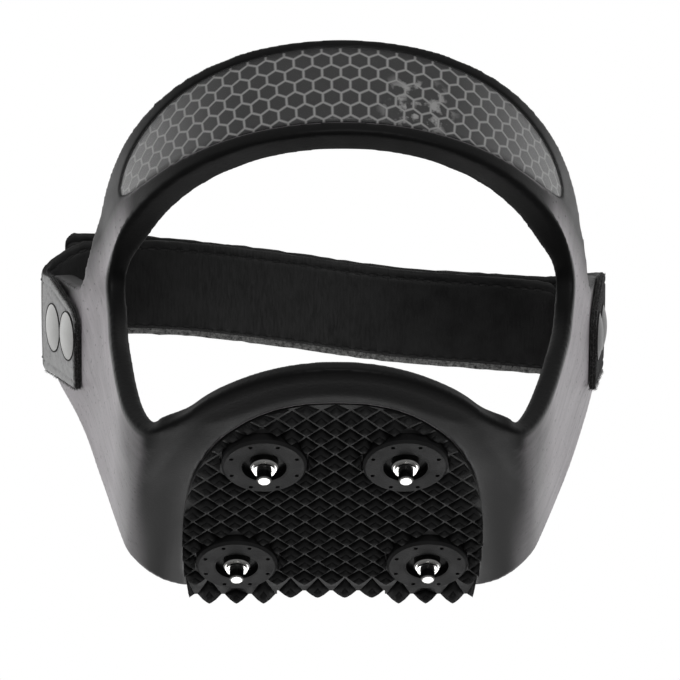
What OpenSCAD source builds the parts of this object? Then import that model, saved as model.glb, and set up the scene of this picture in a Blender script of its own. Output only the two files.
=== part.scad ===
// Heel ice spur: a moulded rubber harness with a studded sole pad, a reflective heel loop
// and two riveted straps that overlap across the instep.
// Millimetres, +Z up, +Y towards the toe, origin in the middle of the heel seat.

/* [Main sizes] */
// Width over the heel loop, which the sole, walls, ears, tread, studs and straps follow
loop_w = 98; // [92:0.5:106]
// How far the soft loop and window lean to the right at rest, 0 for a spur that is the same on both sides
sway = 2; // [0:0.2:2.4]

/* [Sole] */
// Distance from the origin to the front edge of the sole
sole_front = 25; // [20:0.5:32]
// How far the flat part of the sole ends inside the loop, on each side
sole_in = 21.5; // [18:0.5:24]
// Thickness of the sole under the heel seat
sole_t = 5; // [4:0.5:8]
// How much the rear rim's plan radius exceeds the half width of the flat sole
rim_grow = 7.5; // [5:0.5:11]
// Distance from the origin back to the centre of the rear rim
rim_back = 8.5; // [5:0.5:12]
// Width of the smooth lip behind the tread
lip_w = 7; // [5:0.5:9]
// Rise of the lip above the underside
lip_rise = 2.2; // [1:0.2:3.6]
// Thickness of the rubber at the lip
lip_t = 2.8; // [2.4:0.1:4]
// Depth of the heel seat pocket below the moulded inner face
seat_depth = 0.2; // [0.1:0.1:0.6]

/* [Side walls] */
// Outer radius between the sole and the walls
corner_r = 15; // [10:0.5:18]
// Outward lean of the walls from upright
wall_lean = 17; // [8:1:24]
// Thickness of the rubber ears and loop
wall_t = 5; // [4.5:0.25:6]
// Thickness of the rubber along the rear window
rim_t = 3.8; // [3.4:0.1:5]
// Radius of the rubber edges
edge_r = 1.5; // [0.6:0.1:1.7]
// Height at which the rear window is narrowest, above the seat
window_z = 36; // [30:0.5:40]
// Distance from the origin back to the narrowest point of the rear window
window_back = 10; // [6:0.5:14]
// How far the walls lie inside the loop at that point, on each side
window_in = 3.4; // [1:0.2:6]
// How far the walls lie inside the loop at the window's lower corners
window_low_in = 10.2; // [9:0.2:14]
// Height of the window's lower corners above the seat
window_low_z = 2.5; // [2:0.5:7]

/* [Heel loop] */
// Height of the loop's top edge at the back
loop_top = 74; // [66:0.5:84]
// Height of the band at the back
band_h = 23.5; // [20:0.5:28]
// Distance from the loop's centre to its back
loop_depth = 44; // [40:0.5:50]
// Distance from the origin back to the loop's centre
loop_back = 5; // [2:0.5:8]
// How much the lower edge lies inside the top edge
loop_draft = 1.6; // [0:0.1:3]
// Fall of the top edge along the arms
arm_drop = 19; // [12:0.5:24]

/* [Ears] */
// Angle by which the ears and the strap lean back
strap_lean = 50; // [40:1:60]
// Outward flare of the left ear, as the soft rubber stands at rest
left_flare = 21; // [9:0.5:28]
// Outward flare of the right ear, as the soft rubber stands at rest
right_flare = 11; // [9:0.5:28]
// Outward flare that the walls lead up to, below the ears
wall_flare = 13; // [9:0.5:20]
// Distance of the ear's root along the leaning plane
ear_root = 39.5; // [36:0.5:43]
// How far the ear's root stands outside the loop, on each side
ear_out = 3.8; // [0:0.2:6]
// Length of each ear
ear_len = 20; // [16:0.5:24]
// Height of the middle of the ears in the leaning plane
ear_mid = 22.5; // [20:0.5:25]
// Rounding of the ear's corners
ear_corner = 4; // [2:0.5:6]

/* [Studs] */
// Distance from the pad's widest side in to the rear studs
rear_stud_in = 16.1; // [14.3:0.2:18.3]
// Distance from the pad's widest side in to the front studs
front_stud_in = 10.6; // [9.5:0.1:12.3]
// Half distance between the stud rows
stud_row_y = 16.2; // [14:0.2:18]
// Diameter of a stud disc
disc_d = 16; // [13:0.5:17]
// Height of the disc face below the sole recess
disc_h = 3; // [2:0.25:4]
// Diameter of the ring sunk in the disc
sink_d = 8.4; // [7:0.2:10]
// Depth of the ring sunk in the disc
sink_h = 1.4; // [0.6:0.1:1.8]
// Number of dimples in a disc
dimples = 8; // [4:1:12]
// Diameter of the stud collar
collar_d = 5.2; // [4.4:0.1:6]
// Height of the collar above the disc face
collar_h = 0.3; // [0.1:0.1:1]
// Diameter of the flange under the heel
flange_d = 12; // [9:0.5:14]
// Thickness of the flange
flange_t = 1.2; // [0.8:0.1:1.6]
// Diameter of the hard pin
pin_d = 2.8; // [2.2:0.1:3.2]
// Reach of the pin past the disc face
pin_reach = 3.2; // [2:0.2:5]

/* [Tread] */
// Depth of the recess that takes the tread pad
pad_recess = 1; // [0.5:0.1:2]
// Thickness of the pad under its pyramids
pad_base = 1.2; // [0.8:0.1:2]
// How far the pad reaches past the flat part of the sole, on each side
pad_side = 1.8; // [0:0.1:2.5]
// Distance from the origin to the widest part of the pad
pad_wide_y = 13; // [10:0.5:16]
// Length of the pad behind its widest part
pad_rear = 49.5; // [46:0.5:51]
// Distance from the origin to the pad's front edge
pad_front = 27.6; // [26:0.2:30]
// Depth of the shallow notch in the pad's front edge
pad_notch = 2.2; // [0.5:0.1:2.4]
// Diagonal pitch of the pyramids
pyramid_pitch = 5.4; // [4.4:0.1:7]
// Height of the pyramids
pyramid_h = 2.2; // [1.4:0.1:3]

/* [Reflector] */
// Margin of rubber above the reflective strip
strip_top = 2.4; // [1.5:0.1:4]
// Height of the strip at the back
strip_h = 18.3; // [14:0.1:19]
// Thickness of the reflective sheet
sheet_t = 0.4; // [0.2:0.1:0.8]
// Thickness of the clear cover film
film_t = 0.3; // [0.2:0.1:0.6]

/* [Straps] */
// Width of the straps
strap_w = 20.5; // [16:0.5:22]
// Thickness of the straps
strap_t = 1.6; // [1.2:0.1:2.2]
// Forward reach of the inner strap past its hinge
strap_reach = 10.8; // [8.4:0.2:13]
// Fall of the straps across the instep, per millimetre of width
strap_fall = 0.11; // [0:0.01:0.14]
// Height of the middle of the straps above the ears' middle
strap_rise = 2; // [0:0.2:4]
// Distance from the loop's side in to the free end of the inner strap
inner_in = -1; // [-1:0.5:11]
// Distance from the loop's side out to the free end of the outer strap
outer_out = 8; // [-1:0.5:9]
// Distance from the loop's side in to the ends of the hook and loop patches
patch_in = 15; // [11:0.5:24]
// Width of the hook and loop patches
patch_w = 15; // [10:0.5:16]
// Thickness of each patch
patch_t = 0.7; // [0.4:0.1:1]
// How far each riveted tab reaches back past the ear's root
tab_back = 2.2; // [0.6:0.2:3]
// Fall of each riveted tab's upper edge towards its back
tab_fall = 4.4; // [2:0.2:6]
// Length of that fall
tab_slant = 18; // [10:0.5:20]

/* [Rivets] */
// Diameter of the domed caps
cap_d = 10; // [8:0.2:10.4]
// Height of the domed caps
cap_h = 0.9; // [0.8:0.1:3]
// Distance between the two rivets of an ear
rivet_pitch = 10.4; // [10.4:0.1:11]
// Diameter of the posts
post_d = 3; // [2.4:0.1:3.6]
// Diameter of the inner heads
head_d = 8.8; // [7:0.2:9.6]
// Thickness of the inner heads
head_t = 1; // [0.6:0.1:1.6]

/* [Hidden] */
$fn = 48;

// Half widths that follow the loop
loop_hw = loop_w / 2;
sole_flat = loop_hw - sole_in;
rim_r = sole_flat + rim_grow;
window_hw = loop_hw - window_in;
window_low_hw = loop_hw - window_low_in;
ear_hw = loop_hw + ear_out;
pad_hw = sole_flat + pad_side;
rear_stud_x = pad_hw - rear_stud_in;
front_stud_x = pad_hw - front_stud_in;
inner_end = loop_hw - inner_in;
outer_end = loop_hw + outer_out;
patch_l = 2 * (loop_hw - patch_in);

// Clearances: pieces bonded or pressed together, and pieces on different bodies
fit_gap = 0.05;
soft_gap = 0.3;

// Heights below the heel seat
under_z = seat_depth - sole_t;
recess_z = under_z + pad_recess;
disc_z = recess_z - disc_h;
tip_z = disc_z - pin_reach;

function lerp(a, b, t) = a + (b - a) * t;
function unit(v) = v / norm(v);
function mirror_x(p) = [-p[0], p[1], p[2]];

// The leaning plane of the ears and straps: x across, w forward and up, h across the strap
function lean(p) = [
    p[0],
    p[1] * cos(strap_lean) - p[2] * sin(strap_lean),
    p[1] * sin(strap_lean) + p[2] * cos(strap_lean)
];
// The ears are moulded proud by this much and cut back to flat faces for the tabs and rivet heads
ear_cut = 0.5;
arm_front = -tab_back - 1.3;
head_cut = 0.4;
grip = wall_t - ear_cut - head_cut;
// Sides are s = 1 on the right and s = -1 on the left, whose points are then mirrored
function flare(s) = s > 0 ? right_flare : left_flare;
function ear_x(s) = ear_hw + s * sway / 2;
// A point of an ear's moulded skin: along from its root, across from its middle
function flared(along, across, s, f) = lean([
    ear_x(s) + along * sin(f) + ear_cut * cos(f),
    ear_root + along * cos(f) - ear_cut * sin(f),
    ear_mid + across
]);
function ear_point(along, across, s) = flared(along, across, s, flare(s));

// The harness is one closed ribbon round the rear window. Each row of its cage holds a point on
// the front or top edge, one part way across, one on the window's edge, and three thicknesses.
function rim(a, r, z) = [r * sin(a), -rim_back - r * cos(a), z];
function top_edge(a, s) = [
    loop_hw * sin(a) + s * sway, -loop_back - loop_depth * cos(a), loop_top - arm_drop * pow(1 - cos(a), 2)
];
function low_edge(a, s) = let (fall = 0.58 * arm_drop) [
    (loop_hw - loop_draft) * sin(a) + s * sway,
    -loop_back - (loop_depth - loop_draft) * cos(a),
    loop_top - band_h - fall * pow(1 - cos(a), 2)
];
function corner_front(c) = [
    sole_flat + corner_r * sin(c), sole_front, under_z + corner_r * (1 - cos(c))
];
function wall_front(t, s) = lerp(
    corner_front(90 - wall_lean), flared(ear_len, -strap_w / 2, s, wall_flare), t
);
function arm_front_edge(s, t) = lerp(top_edge(arm_top, s), ear_point(ear_len / 3, strap_w, s), t);
window_low = [window_low_hw, -rim_back - rim_r * 0.32, window_low_z];
window_foot = [window_low[0] - 4, window_low[1] - 4, under_z + lip_rise - 0.3];
function window_side(t, s) = lerp(window_low, [window_hw + s * sway, -window_back, window_z], t);
sole_skin_t = sole_t;
function sole_row(x, a) = [
    [x, sole_front, under_z], rim(a, rim_r - lip_w, under_z), rim(a, rim_r, under_z + lip_rise),
    [sole_skin_t, sole_skin_t, lip_t]
];
function wall_row(front, back, t) = [front, (front + back) / 2, back, [t, (t + rim_t) / 2, rim_t]];
function ear_row(across, back, s) = [
    ear_point(ear_len, across, s), ear_point(0, across, s), back,
    [wall_t, (wall_t + rim_t) / 2, rim_t]
];
function loop_row(a, b, s) = [
    top_edge(a, s), (top_edge(a, s) + low_edge(b, s)) / 2, low_edge(b, s), [wall_t, wall_t, wall_t]
];
half_w = strap_w / 2;
// Where the arm leaves the loop, as angles round the loop at its two edges
arm_top = 83;
arm_low = 73;
function arm_share(s) = 27.5 / pow(flare(s), 1.5);

function side_rows(s) = [
    sole_row(sole_flat / 2, 20),
    sole_row(sole_flat, 41),
    [
        corner_front(30), rim(57, rim_r - lip_w / 2, under_z + 0.6), rim(57, rim_r, under_z + lip_rise),
        [sole_skin_t, sole_skin_t, lip_t]
    ],
    [
        corner_front(62), (corner_front(62) + window_foot) / 2, window_foot,
        [wall_t, (wall_t + lip_t) / 2, lip_t]
    ],
    wall_row(wall_front(0.06, s), window_low, wall_t),
    wall_row(wall_front(0.36, s), window_side(0.35, s), wall_t),
    wall_row(wall_front(0.68, s), window_side(0.65, s), wall_t),
    ear_row(-half_w, window_side(0.85, s), s),
    ear_row(0, window_side(1, s), s),
    ear_row(half_w + 2, low_edge(arm_top - 2, s), s),
    wall_row(arm_front_edge(s, arm_share(s)), low_edge(arm_low + 4, s), wall_t),
    wall_row(arm_front_edge(s, arm_share(s) / 5), low_edge(arm_low, s), wall_t),
    loop_row(72, 67, s),
    loop_row(58, 55, s),
    loop_row(40, 38, s),
    loop_row(20, 19, s)
];
right_rows = side_rows(1);
left_rows = side_rows(-1);
cage = concat(
    [sole_row(0, 0)],
    right_rows,
    [loop_row(0, 0, 1)],
    [for (i = [len(left_rows) - 1:-1:0]) let (r = left_rows[i])
        [mirror_x(r[0]), mirror_x(r[1]), mirror_x(r[2]), r[3]]]
);

// Corner cutting turns the cage into a smooth ring
function cut_corners(rows) = [
    for (i = [0:len(rows) - 1]) let (a = rows[i], b = rows[(i + 1) % len(rows)])
        each [lerp(a, b, 0.25), lerp(a, b, 0.75)]
];
ring = cut_corners(cut_corners(cage));
ring_n = len(ring);
loop_mid = 4 * (len(right_rows) + 1) - 1;

// A point on the outer skin: station i, v from the front edge (0) to the window's edge (1)
function across_row(row, v) = v < 0.5 ? lerp(row[0], row[1], 2 * v) : lerp(row[1], row[2], 2 * v - 1);
function skin(i, v) = across_row(ring[(i + ring_n) % ring_n], v);
function thick(i, v) = across_row([for (t = ring[(i + ring_n) % ring_n][3]) t], v);
function outward(i, v) = let (d = 0.06)
    unit(cross(skin(i + 1, v) - skin(i - 1, v), skin(i, min(1, v + d)) - skin(i, max(0, v - d))));
function at_depth(i, v, depth) = skin(i, v) - depth * outward(i, v);

// One closed cross-section of the ribbon, with bevelled edges
function section(i) = let (
    row = ring[i],
    fore = edge_r * 0.6,
    aft = min(edge_r, 0.4 * thick(i, 1)),
    front = fore / norm(row[1] - row[0]) / 2,
    rear = 1 - aft / norm(row[2] - row[1]) / 2,
    across = [front, 0.18, 0.34, 0.5, 0.75, rear],
    last = len(across) - 1
) concat(
    [for (v = across) at_depth(i, v, 0)],
    [at_depth(i, 1, aft), at_depth(i, 1, thick(i, 1) - aft)],
    [for (k = [last:-1:0]) at_depth(i, across[k], thick(i, across[k]))],
    [at_depth(i, 0, thick(i, 0) - edge_r), at_depth(i, 0, fore)]
);

// Triangles between neighbouring sections of a swept solid
function side_faces(rows, cols, closed) = [
    for (i = [0:rows - (closed ? 1 : 2)], k = [0:cols - 1]) let (
        j = (i + 1) % rows, m = (k + 1) % cols,
        a = i * cols + k, b = i * cols + m, c = j * cols + m, d = j * cols + k
    ) each [[a, b, c], [a, c, d]]
];
function end_faces(rows, cols) = [
    for (k = [0:cols / 2 - 2]) let (
        e = (rows - 1) * cols, a = k, b = k + 1, c = cols - 2 - k, d = cols - 1 - k
    ) each [[a, c, b], [a, d, c], [e + a, e + b, e + c], [e + a, e + c, e + d]]
];
module swept(sections, closed = false) {
    rows = len(sections);
    cols = len(sections[0]);
    polyhedron(
        points = [for (s = sections) each s],
        faces = concat(side_faces(rows, cols, closed), closed ? [] : end_faces(rows, cols))
    );
}

// Frames
module at_studs() {
    for (side = [-1, 1]) {
        translate([side * rear_stud_x, -stud_row_y, 0]) children();
        translate([side * front_stud_x, stud_row_y, 0]) children();
    }
}
module stud_place(side, front) {
    translate([side * (front ? front_stud_x : rear_stud_x), (front ? 1 : -1) * stud_row_y, 0]) children();
}
module on_ear(side) {
    mirror([side < 0 ? 1 : 0, 0, 0])
        rotate([strap_lean, 0, 0])
            translate([ear_x(side), ear_root, ear_mid])
                rotate([0, 0, -flare(side)])
                    children();
}
rivet_mid = cap_d / 2 + rivet_pitch / 2 - tab_back;
module at_rivet(front) {
    translate([0, rivet_mid + (front ? 0.5 : -0.5) * rivet_pitch, 0]) rotate([0, 90, 0]) children();
}

// Outlines
function pad_outline(grow) = let (
    hw = pad_hw + grow,
    rear = pad_rear + grow,
    top = asin((pad_front - pad_wide_y) / pad_rear),
    steps = 40
) [for (s = [0:steps]) let (a = lerp(180 - top, 360 + top, s / steps))
    [hw * cos(a), pad_wide_y + rear * sin(a)]];
function pad_notched() = concat(pad_outline(0), [
    [pad_hw / 2, pad_front], [pad_hw / 3, pad_front - pad_notch],
    [-pad_hw / 3, pad_front - pad_notch], [-pad_hw / 2, pad_front]
]);
module tab_outline() {
    half = strap_w / 2;
    polygon([
        [-tab_back, -half], [ear_len, -half], [ear_len, half], [tab_slant - tab_back, half],
        [tab_fall / 2 - tab_back, half - tab_fall], [-tab_back, half - 1.5 * tab_fall]
    ]);
}

// What is cut away above an ear: a flat ledge with a fillet up into the arm
module ledge_cut() {
    reach = 2 * ear_len;
    polygon(concat(
        [[reach, 0], [reach, reach], [0, reach], [0, 1.1 * ear_len]],
        [for (s = [0:6]) let (a = 180 + 15 * s)
            [arm_front + ear_corner * (1 + cos(a)), ear_corner * (1 + sin(a))]]
    ));
}

// Rubber harness: sole, walls, ears and heel loop in one moulding
module heel_harness() {
    over = 2;
    spot_h = wall_t;
    seat_inset = 2.5;
    color([0.10, 0.10, 0.11]) difference() {
        swept([for (i = [0:ring_n - 1]) section(i)], closed = true);
        translate([0, 0, under_z - over]) linear_extrude(over + pad_recess)
            polygon(pad_outline(fit_gap));
        linear_extrude(over) intersection() {
            polygon(pad_outline(-seat_inset));
            translate([-pad_hw, -pad_rear]) square([2 * pad_hw, pad_rear + sole_front - seat_inset]);
        }
        at_studs() {
            translate([0, 0, -sole_t]) cylinder(d = collar_d + 2 * fit_gap, h = sole_t + over);
            translate([0, 0, -flange_t - fit_gap]) cylinder(d = flange_d + 2 * fit_gap, h = flange_t + over);
        }
        for (side = [-1, 1]) on_ear(side) {
            translate([0, -tab_back - over / 2, -half_w - over])
                cube([spot_h, ear_len + tab_back + 3 * over, strap_w + 3 * over]);
            translate([-3 * wall_t, 0, half_w]) rotate([90, 0, 90]) linear_extrude(6 * wall_t) ledge_cut();
            for (front = [false, true]) at_rivet(front) {
                translate([0, 0, -wall_t - over]) cylinder(d = post_d + 2 * fit_gap, h = wall_t + 2 * over);
                translate([0, 0, -grip - spot_h]) cylinder(d = head_d + 2 * soft_gap, h = spot_h);
            }
        }
    }
}

// Diamond tread pad bonded into the sole recess
module tread_pad() {
    cell = pyramid_pitch / sqrt(2);
    n = 2 * ceil((pad_rear + pad_front - pad_wide_y) / cell / 1.35);
    top = recess_z - fit_gap;
    valley = top - pad_base;
    cols = n + 1;
    corners = [for (i = [0:n], j = [0:n]) [(i - n / 2) * cell, (j - n / 2) * cell, valley]];
    peaks = [for (i = [0:n - 1], j = [0:n - 1])
        [(i + 0.5 - n / 2) * cell, (j + 0.5 - n / 2) * cell, valley - pyramid_h]];
    first_peak = cols * cols;
    apex = first_peak + n * n;
    pyramids = [for (i = [0:n - 1], j = [0:n - 1]) let (
        a = i * cols + j, b = a + cols, c = b + 1, d = a + 1, p = first_peak + i * n + j
    ) each [[a, b, p], [b, c, p], [c, d, p], [d, a, p]]];
    lid = [for (k = [0:n - 1]) each [
        [k * cols, apex, (k + 1) * cols],
        [n * cols + k, apex, n * cols + k + 1],
        [(k + 1) * cols + n, apex, k * cols + n],
        [k + 1, apex, k]
    ]];
    color([0.07, 0.07, 0.08]) difference() {
        intersection() {
            translate([0, (pad_front + pad_wide_y - pad_rear) / 2, 0]) rotate([0, 0, 45])
                polyhedron(
                    points = concat(corners, peaks, [[0, 0, 20 * pad_rear]]),
                    faces = concat(pyramids, lid)
                );
            translate([0, 0, tip_z]) linear_extrude(top - tip_z) polygon(pad_notched());
        }
        at_studs() translate([0, 0, disc_z - pin_reach])
            cylinder(d = disc_d + 2 * soft_gap, h = pin_reach + disc_h + sole_t);
    }
}

// Stud disc: a washer with a sunk ring and a circle of dimples
module stud_disc(side, front) {
    top = recess_z - fit_gap;
    round_r = 0.5;
    dimple_d = 0.8;
    dimple_h = 0.4;
    color([0.20, 0.20, 0.21]) stud_place(side, front) difference() {
        rotate_extrude() polygon([
            [collar_d / 2 + fit_gap, top], [disc_d / 2, top], [disc_d / 2, disc_z + round_r],
            [disc_d / 2 - round_r, disc_z], [sink_d / 2, disc_z], [sink_d / 2, disc_z + sink_h],
            [collar_d / 2 + fit_gap, disc_z + sink_h]
        ]);
        for (k = [0:dimples - 1]) rotate(360 * (k + 0.5) / dimples)
            translate([(disc_d + sink_d) / 4 + round_r, 0, disc_z - dimple_h])
                cylinder(d = dimple_d, h = 2 * dimple_h);
    }
}

// Stud body: flange under the heel, shank through sole and disc, stepped collar at the end
module stud_body(side, front) {
    collar_z = disc_z - collar_h;
    step = 0.55;
    socket_top = disc_z + disc_h;
    r = collar_d / 2;
    pin_r = pin_d / 2 + fit_gap;
    color([0.80, 0.80, 0.80]) stud_place(side, front) rotate_extrude() polygon([
        [0, 0], [flange_d / 2, 0], [flange_d / 2, -flange_t], [r, -flange_t],
        [r, collar_z + step / 2], [r - step / 2, collar_z], [r - step, collar_z],
        [r - step, collar_z - step], [pin_r, collar_z - step], [pin_r, socket_top], [0, socket_top]
    ]);
}

// Hard pin pressed into the stud body
module stud_pin(side, front) {
    root = disc_z + disc_h - fit_gap;
    r = pin_d / 2;
    bevel = 0.3;
    color([0.88, 0.88, 0.87]) stud_place(side, front) rotate_extrude() polygon([
        [0, root], [r, root], [r, tip_z + bevel], [r - bevel, tip_z], [0, tip_z]
    ]);
}

// Reflector: a crescent on the back of the loop, with rounded tips
strip_n = 15;
function strip_v(j, side) = let (
    t = abs(j + 0.5) / (strip_n - 0.5),
    mid = (strip_top + strip_h / 2) / band_h,
    half = strip_h / band_h / 2 * (1 - 0.3 * t * t) * sqrt(max(0.03, 1 - pow(t, 6)))
) mid + side * half;
function strip_row(j, low, high) = let (
    i = loop_mid + j, steps = 4,
    vs = [for (s = [0:steps]) lerp(strip_v(j, -1), strip_v(j, 1), s / steps)]
) concat(
    [for (v = vs) at_depth(i, v, -high)],
    [for (s = [steps:-1:0]) at_depth(i, vs[s], -low)]
);
module strip_layer(low, high) {
    swept([for (j = [-strip_n:strip_n - 1]) strip_row(j, low, high)]);
}
module reflective_sheet() {
    color([0.55, 0.55, 0.56]) strip_layer(fit_gap, fit_gap + sheet_t);
}
module clear_film() {
    base = 2 * fit_gap + sheet_t;
    color([0.85, 0.87, 0.88, 0.4]) strip_layer(base, base + film_t);
}

// Straps: each leaves its ear at a living hinge, bends round and runs across the instep
root_thin = 0.6;
end_cut = 2;
hinge_gap = 0.5 * root_thin * strap_t + soft_gap;
strap_mid = fit_gap + strap_t / 2;
hinge_along = ear_len + hinge_gap;
function hinge_x(s) = ear_x(s) + hinge_along * sin(flare(s)) + strap_mid * cos(flare(s));
function hinge_w(s) = ear_root + hinge_along * cos(flare(s)) - strap_mid * sin(flare(s));
layer_gap = strap_t + 2 * patch_t + soft_gap;
// The run of the straps falls to the right and levels off towards the left
function run_h(x) = ear_mid + strap_rise - strap_fall * x * (1 - 0.25 * pow(min(0, x) / outer_end, 4));
function ease(t) = t < 0 ? 0 : t > 1 ? 1 : t * t * (3 - 2 * t);
// Points of one strap in the leaning plane, from the ear on side s to a run at the given w
function strap_route(s, w, end) = let (
    f = flare(s),
    r = (w - hinge_w(s)) / (1 + sin(f)),
    cx = hinge_x(s) - r * cos(f),
    cw = hinge_w(s) + r * sin(f),
    bend = [for (k = [0:10]) let (a = lerp(-f, 90, k / 10)) [cx + r * cos(a), cw + r * sin(a)]],
    run = [for (k = [1:14]) [lerp(cx, end_cut - end, k / 14), w]],
    flat = concat(bend, run, [[-end, w]])
) [for (k = [0:len(flat) - 1]) let (
    x = s * flat[k][0],
    t = ease(k / 14)
) [x, flat[k][1], lerp(ear_mid, run_h(x), t)]];
// One ribbon along a route, between two offsets from the route's line
function ribbon_row(route, k, full, low, high, root, tip) = let (
    last = len(route) - 1,
    q = k == 0 ? root : 1,
    half = k == last ? full - tip : full,
    d = unit(route[min(k + 1, last)] - route[max(k - 1, 0)]),
    n = unit([d[1], -d[0], 0]),
    p = route[k]
) [
    p + q * n * low - [0, 0, half], p + q * n * high - [0, 0, half],
    p + q * n * high + [0, 0, half], p + q * n * low + [0, 0, half]
];
module ribbon(route, half, low, high, root = 1, tip = 0) {
    rotate([strap_lean, 0, 0])
        swept([for (k = [0:len(route) - 1]) ribbon_row(route, k, half, low, high, root, tip)]);
}
inner_w = hinge_w(-1) + strap_reach;
outer_w = inner_w + layer_gap;
inner_route = strap_route(-1, inner_w, inner_end);
outer_route = strap_route(1, outer_w, outer_end);
function patch_route(w) = [
    for (s = [0:10]) let (x = lerp(-patch_l / 2, patch_l / 2, s / 10)) [x, w, run_h(x)]
];

module strap_tab(side) {
    color([0.09, 0.09, 0.10]) on_ear(side) difference() {
        translate([fit_gap, 0, 0]) rotate([90, 0, 90]) linear_extrude(strap_t) tab_outline();
        for (front = [false, true]) at_rivet(front)
            translate([0, 0, -strap_t]) cylinder(d = post_d + 2 * fit_gap, h = 3 * strap_t);
    }
}
module left_strap_tab() { strap_tab(-1); }
module right_strap_tab() { strap_tab(1); }
module inner_strap() {
    color([0.08, 0.08, 0.09]) ribbon(inner_route, half_w, -strap_t / 2, strap_t / 2, root_thin, end_cut);
}
module outer_strap() {
    color([0.09, 0.09, 0.10]) ribbon(outer_route, half_w, -strap_t / 2, strap_t / 2, root_thin, end_cut);
}
module loop_patch() {
    color([0.05, 0.05, 0.05])
        ribbon(patch_route(inner_w), patch_w / 2, -strap_t / 2 - fit_gap - patch_t, -strap_t / 2 - fit_gap);
}
module hook_patch() {
    color([0.06, 0.06, 0.06])
        ribbon(patch_route(outer_w), patch_w / 2, strap_t / 2 + fit_gap, strap_t / 2 + fit_gap + patch_t);
}

// Rivets: a domed cap outside, a post with a flat head inside
post_end = 2 * fit_gap + strap_t + cap_h / 2;
module rivet_cap(side, front) {
    base = 2 * fit_gap + strap_t;
    r = cap_d / 2;
    dome_r = (r * r + cap_h * cap_h) / (2 * cap_h);
    steps = 8;
    sweep = asin(r / dome_r);
    dome = [for (s = [0:steps]) let (a = sweep * (1 - s / steps))
        [dome_r * sin(a), base + cap_h - dome_r * (1 - cos(a))]];
    color([0.72, 0.72, 0.73]) on_ear(side) at_rivet(front) rotate_extrude() polygon(concat(
        [[0, post_end + fit_gap], [post_d / 2 + fit_gap, post_end + fit_gap], [post_d / 2 + fit_gap, base]],
        dome
    ));
}
module rivet_post(side, front) {
    head_z = -grip - fit_gap;
    color([0.66, 0.66, 0.67]) on_ear(side) at_rivet(front) rotate_extrude() polygon([
        [0, head_z - head_t], [head_d / 2 - head_t / 2, head_z - head_t], [head_d / 2, head_z - head_t / 2],
        [head_d / 2, head_z], [post_d / 2, head_z], [post_d / 2, post_end], [0, post_end]
    ]);
}

heel_harness();
tread_pad();
stud_disc(-1, false);  // stud_disc_rear_left
stud_disc(1, false);  // stud_disc_rear_right
stud_disc(-1, true);  // stud_disc_front_left
stud_disc(1, true);  // stud_disc_front_right
stud_body(-1, false);  // stud_body_rear_left
stud_body(1, false);  // stud_body_rear_right
stud_body(-1, true);  // stud_body_front_left
stud_body(1, true);  // stud_body_front_right
stud_pin(-1, false);  // stud_pin_rear_left
stud_pin(1, false);  // stud_pin_rear_right
stud_pin(-1, true);  // stud_pin_front_left
stud_pin(1, true);  // stud_pin_front_right
reflective_sheet();
clear_film();
left_strap_tab();
right_strap_tab();
inner_strap();
outer_strap();
loop_patch();
hook_patch();
rivet_cap(-1, false);  // rivet_cap_left_rear
rivet_cap(-1, true);  // rivet_cap_left_front
rivet_cap(1, false);  // rivet_cap_right_rear
rivet_cap(1, true);  // rivet_cap_right_front
rivet_post(-1, false);  // rivet_post_left_rear
rivet_post(-1, true);  // rivet_post_left_front
rivet_post(1, false);  // rivet_post_right_rear
rivet_post(1, true);  // rivet_post_right_front
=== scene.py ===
# %% [markdown]
# # Heel ice spur
# A heel ice spur is a stretchy rubber harness that slips over a boot heel. Its sole carries a
# diamond tread and four steel studs, a loop with a reflective strip goes round the back of the
# heel, and two leather straps close over the instep.
# The imported CAD model is loaded first. It is the fixed frame: every piece below is made in the
# same place and the same size, and its box is measured here.

# %% Load the frame
import bpy
import bmesh
import math
import random
import numpy as np
from mathutils import Matrix, Vector
from mathutils.kdtree import KDTree


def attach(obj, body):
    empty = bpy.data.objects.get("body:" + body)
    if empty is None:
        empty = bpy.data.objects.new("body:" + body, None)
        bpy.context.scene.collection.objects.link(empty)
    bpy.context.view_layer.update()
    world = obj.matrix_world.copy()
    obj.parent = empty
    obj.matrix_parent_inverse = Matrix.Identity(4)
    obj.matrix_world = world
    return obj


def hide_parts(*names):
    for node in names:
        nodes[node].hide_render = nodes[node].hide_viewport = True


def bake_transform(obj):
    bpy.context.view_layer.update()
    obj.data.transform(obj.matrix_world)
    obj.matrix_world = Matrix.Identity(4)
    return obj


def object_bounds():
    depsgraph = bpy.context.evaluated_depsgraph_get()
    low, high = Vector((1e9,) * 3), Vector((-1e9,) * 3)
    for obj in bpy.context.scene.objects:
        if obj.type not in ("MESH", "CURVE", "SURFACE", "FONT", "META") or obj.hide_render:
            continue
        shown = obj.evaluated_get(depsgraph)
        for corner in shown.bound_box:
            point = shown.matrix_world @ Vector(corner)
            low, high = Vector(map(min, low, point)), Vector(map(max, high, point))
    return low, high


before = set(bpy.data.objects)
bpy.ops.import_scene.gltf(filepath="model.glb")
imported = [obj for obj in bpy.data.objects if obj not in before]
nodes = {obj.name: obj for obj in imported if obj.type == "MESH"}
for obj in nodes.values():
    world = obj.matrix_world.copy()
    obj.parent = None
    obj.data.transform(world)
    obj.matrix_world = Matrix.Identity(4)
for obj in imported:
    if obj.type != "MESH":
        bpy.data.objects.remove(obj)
cad_low, cad_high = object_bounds()
print("CAD box in mm:", [round(1000 * (b - a), 1) for a, b in zip(cad_low, cad_high)])

# %% [markdown]
# ## Small helpers
# All sizes below are written in millimetres, as they are on the part's drawing, and turned into
# metres only when a mesh is made. `make_piece` builds a mesh from points and faces, `cut_away`
# takes other shapes off it with Boolean modifiers, and `bake` applies whatever modifiers a piece
# carries, so that each finished piece is a plain mesh whose object sits at the origin.

# %% Helpers
MM, PER_M = 0.001, 1000.0
MERGE = 1e-7


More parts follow.
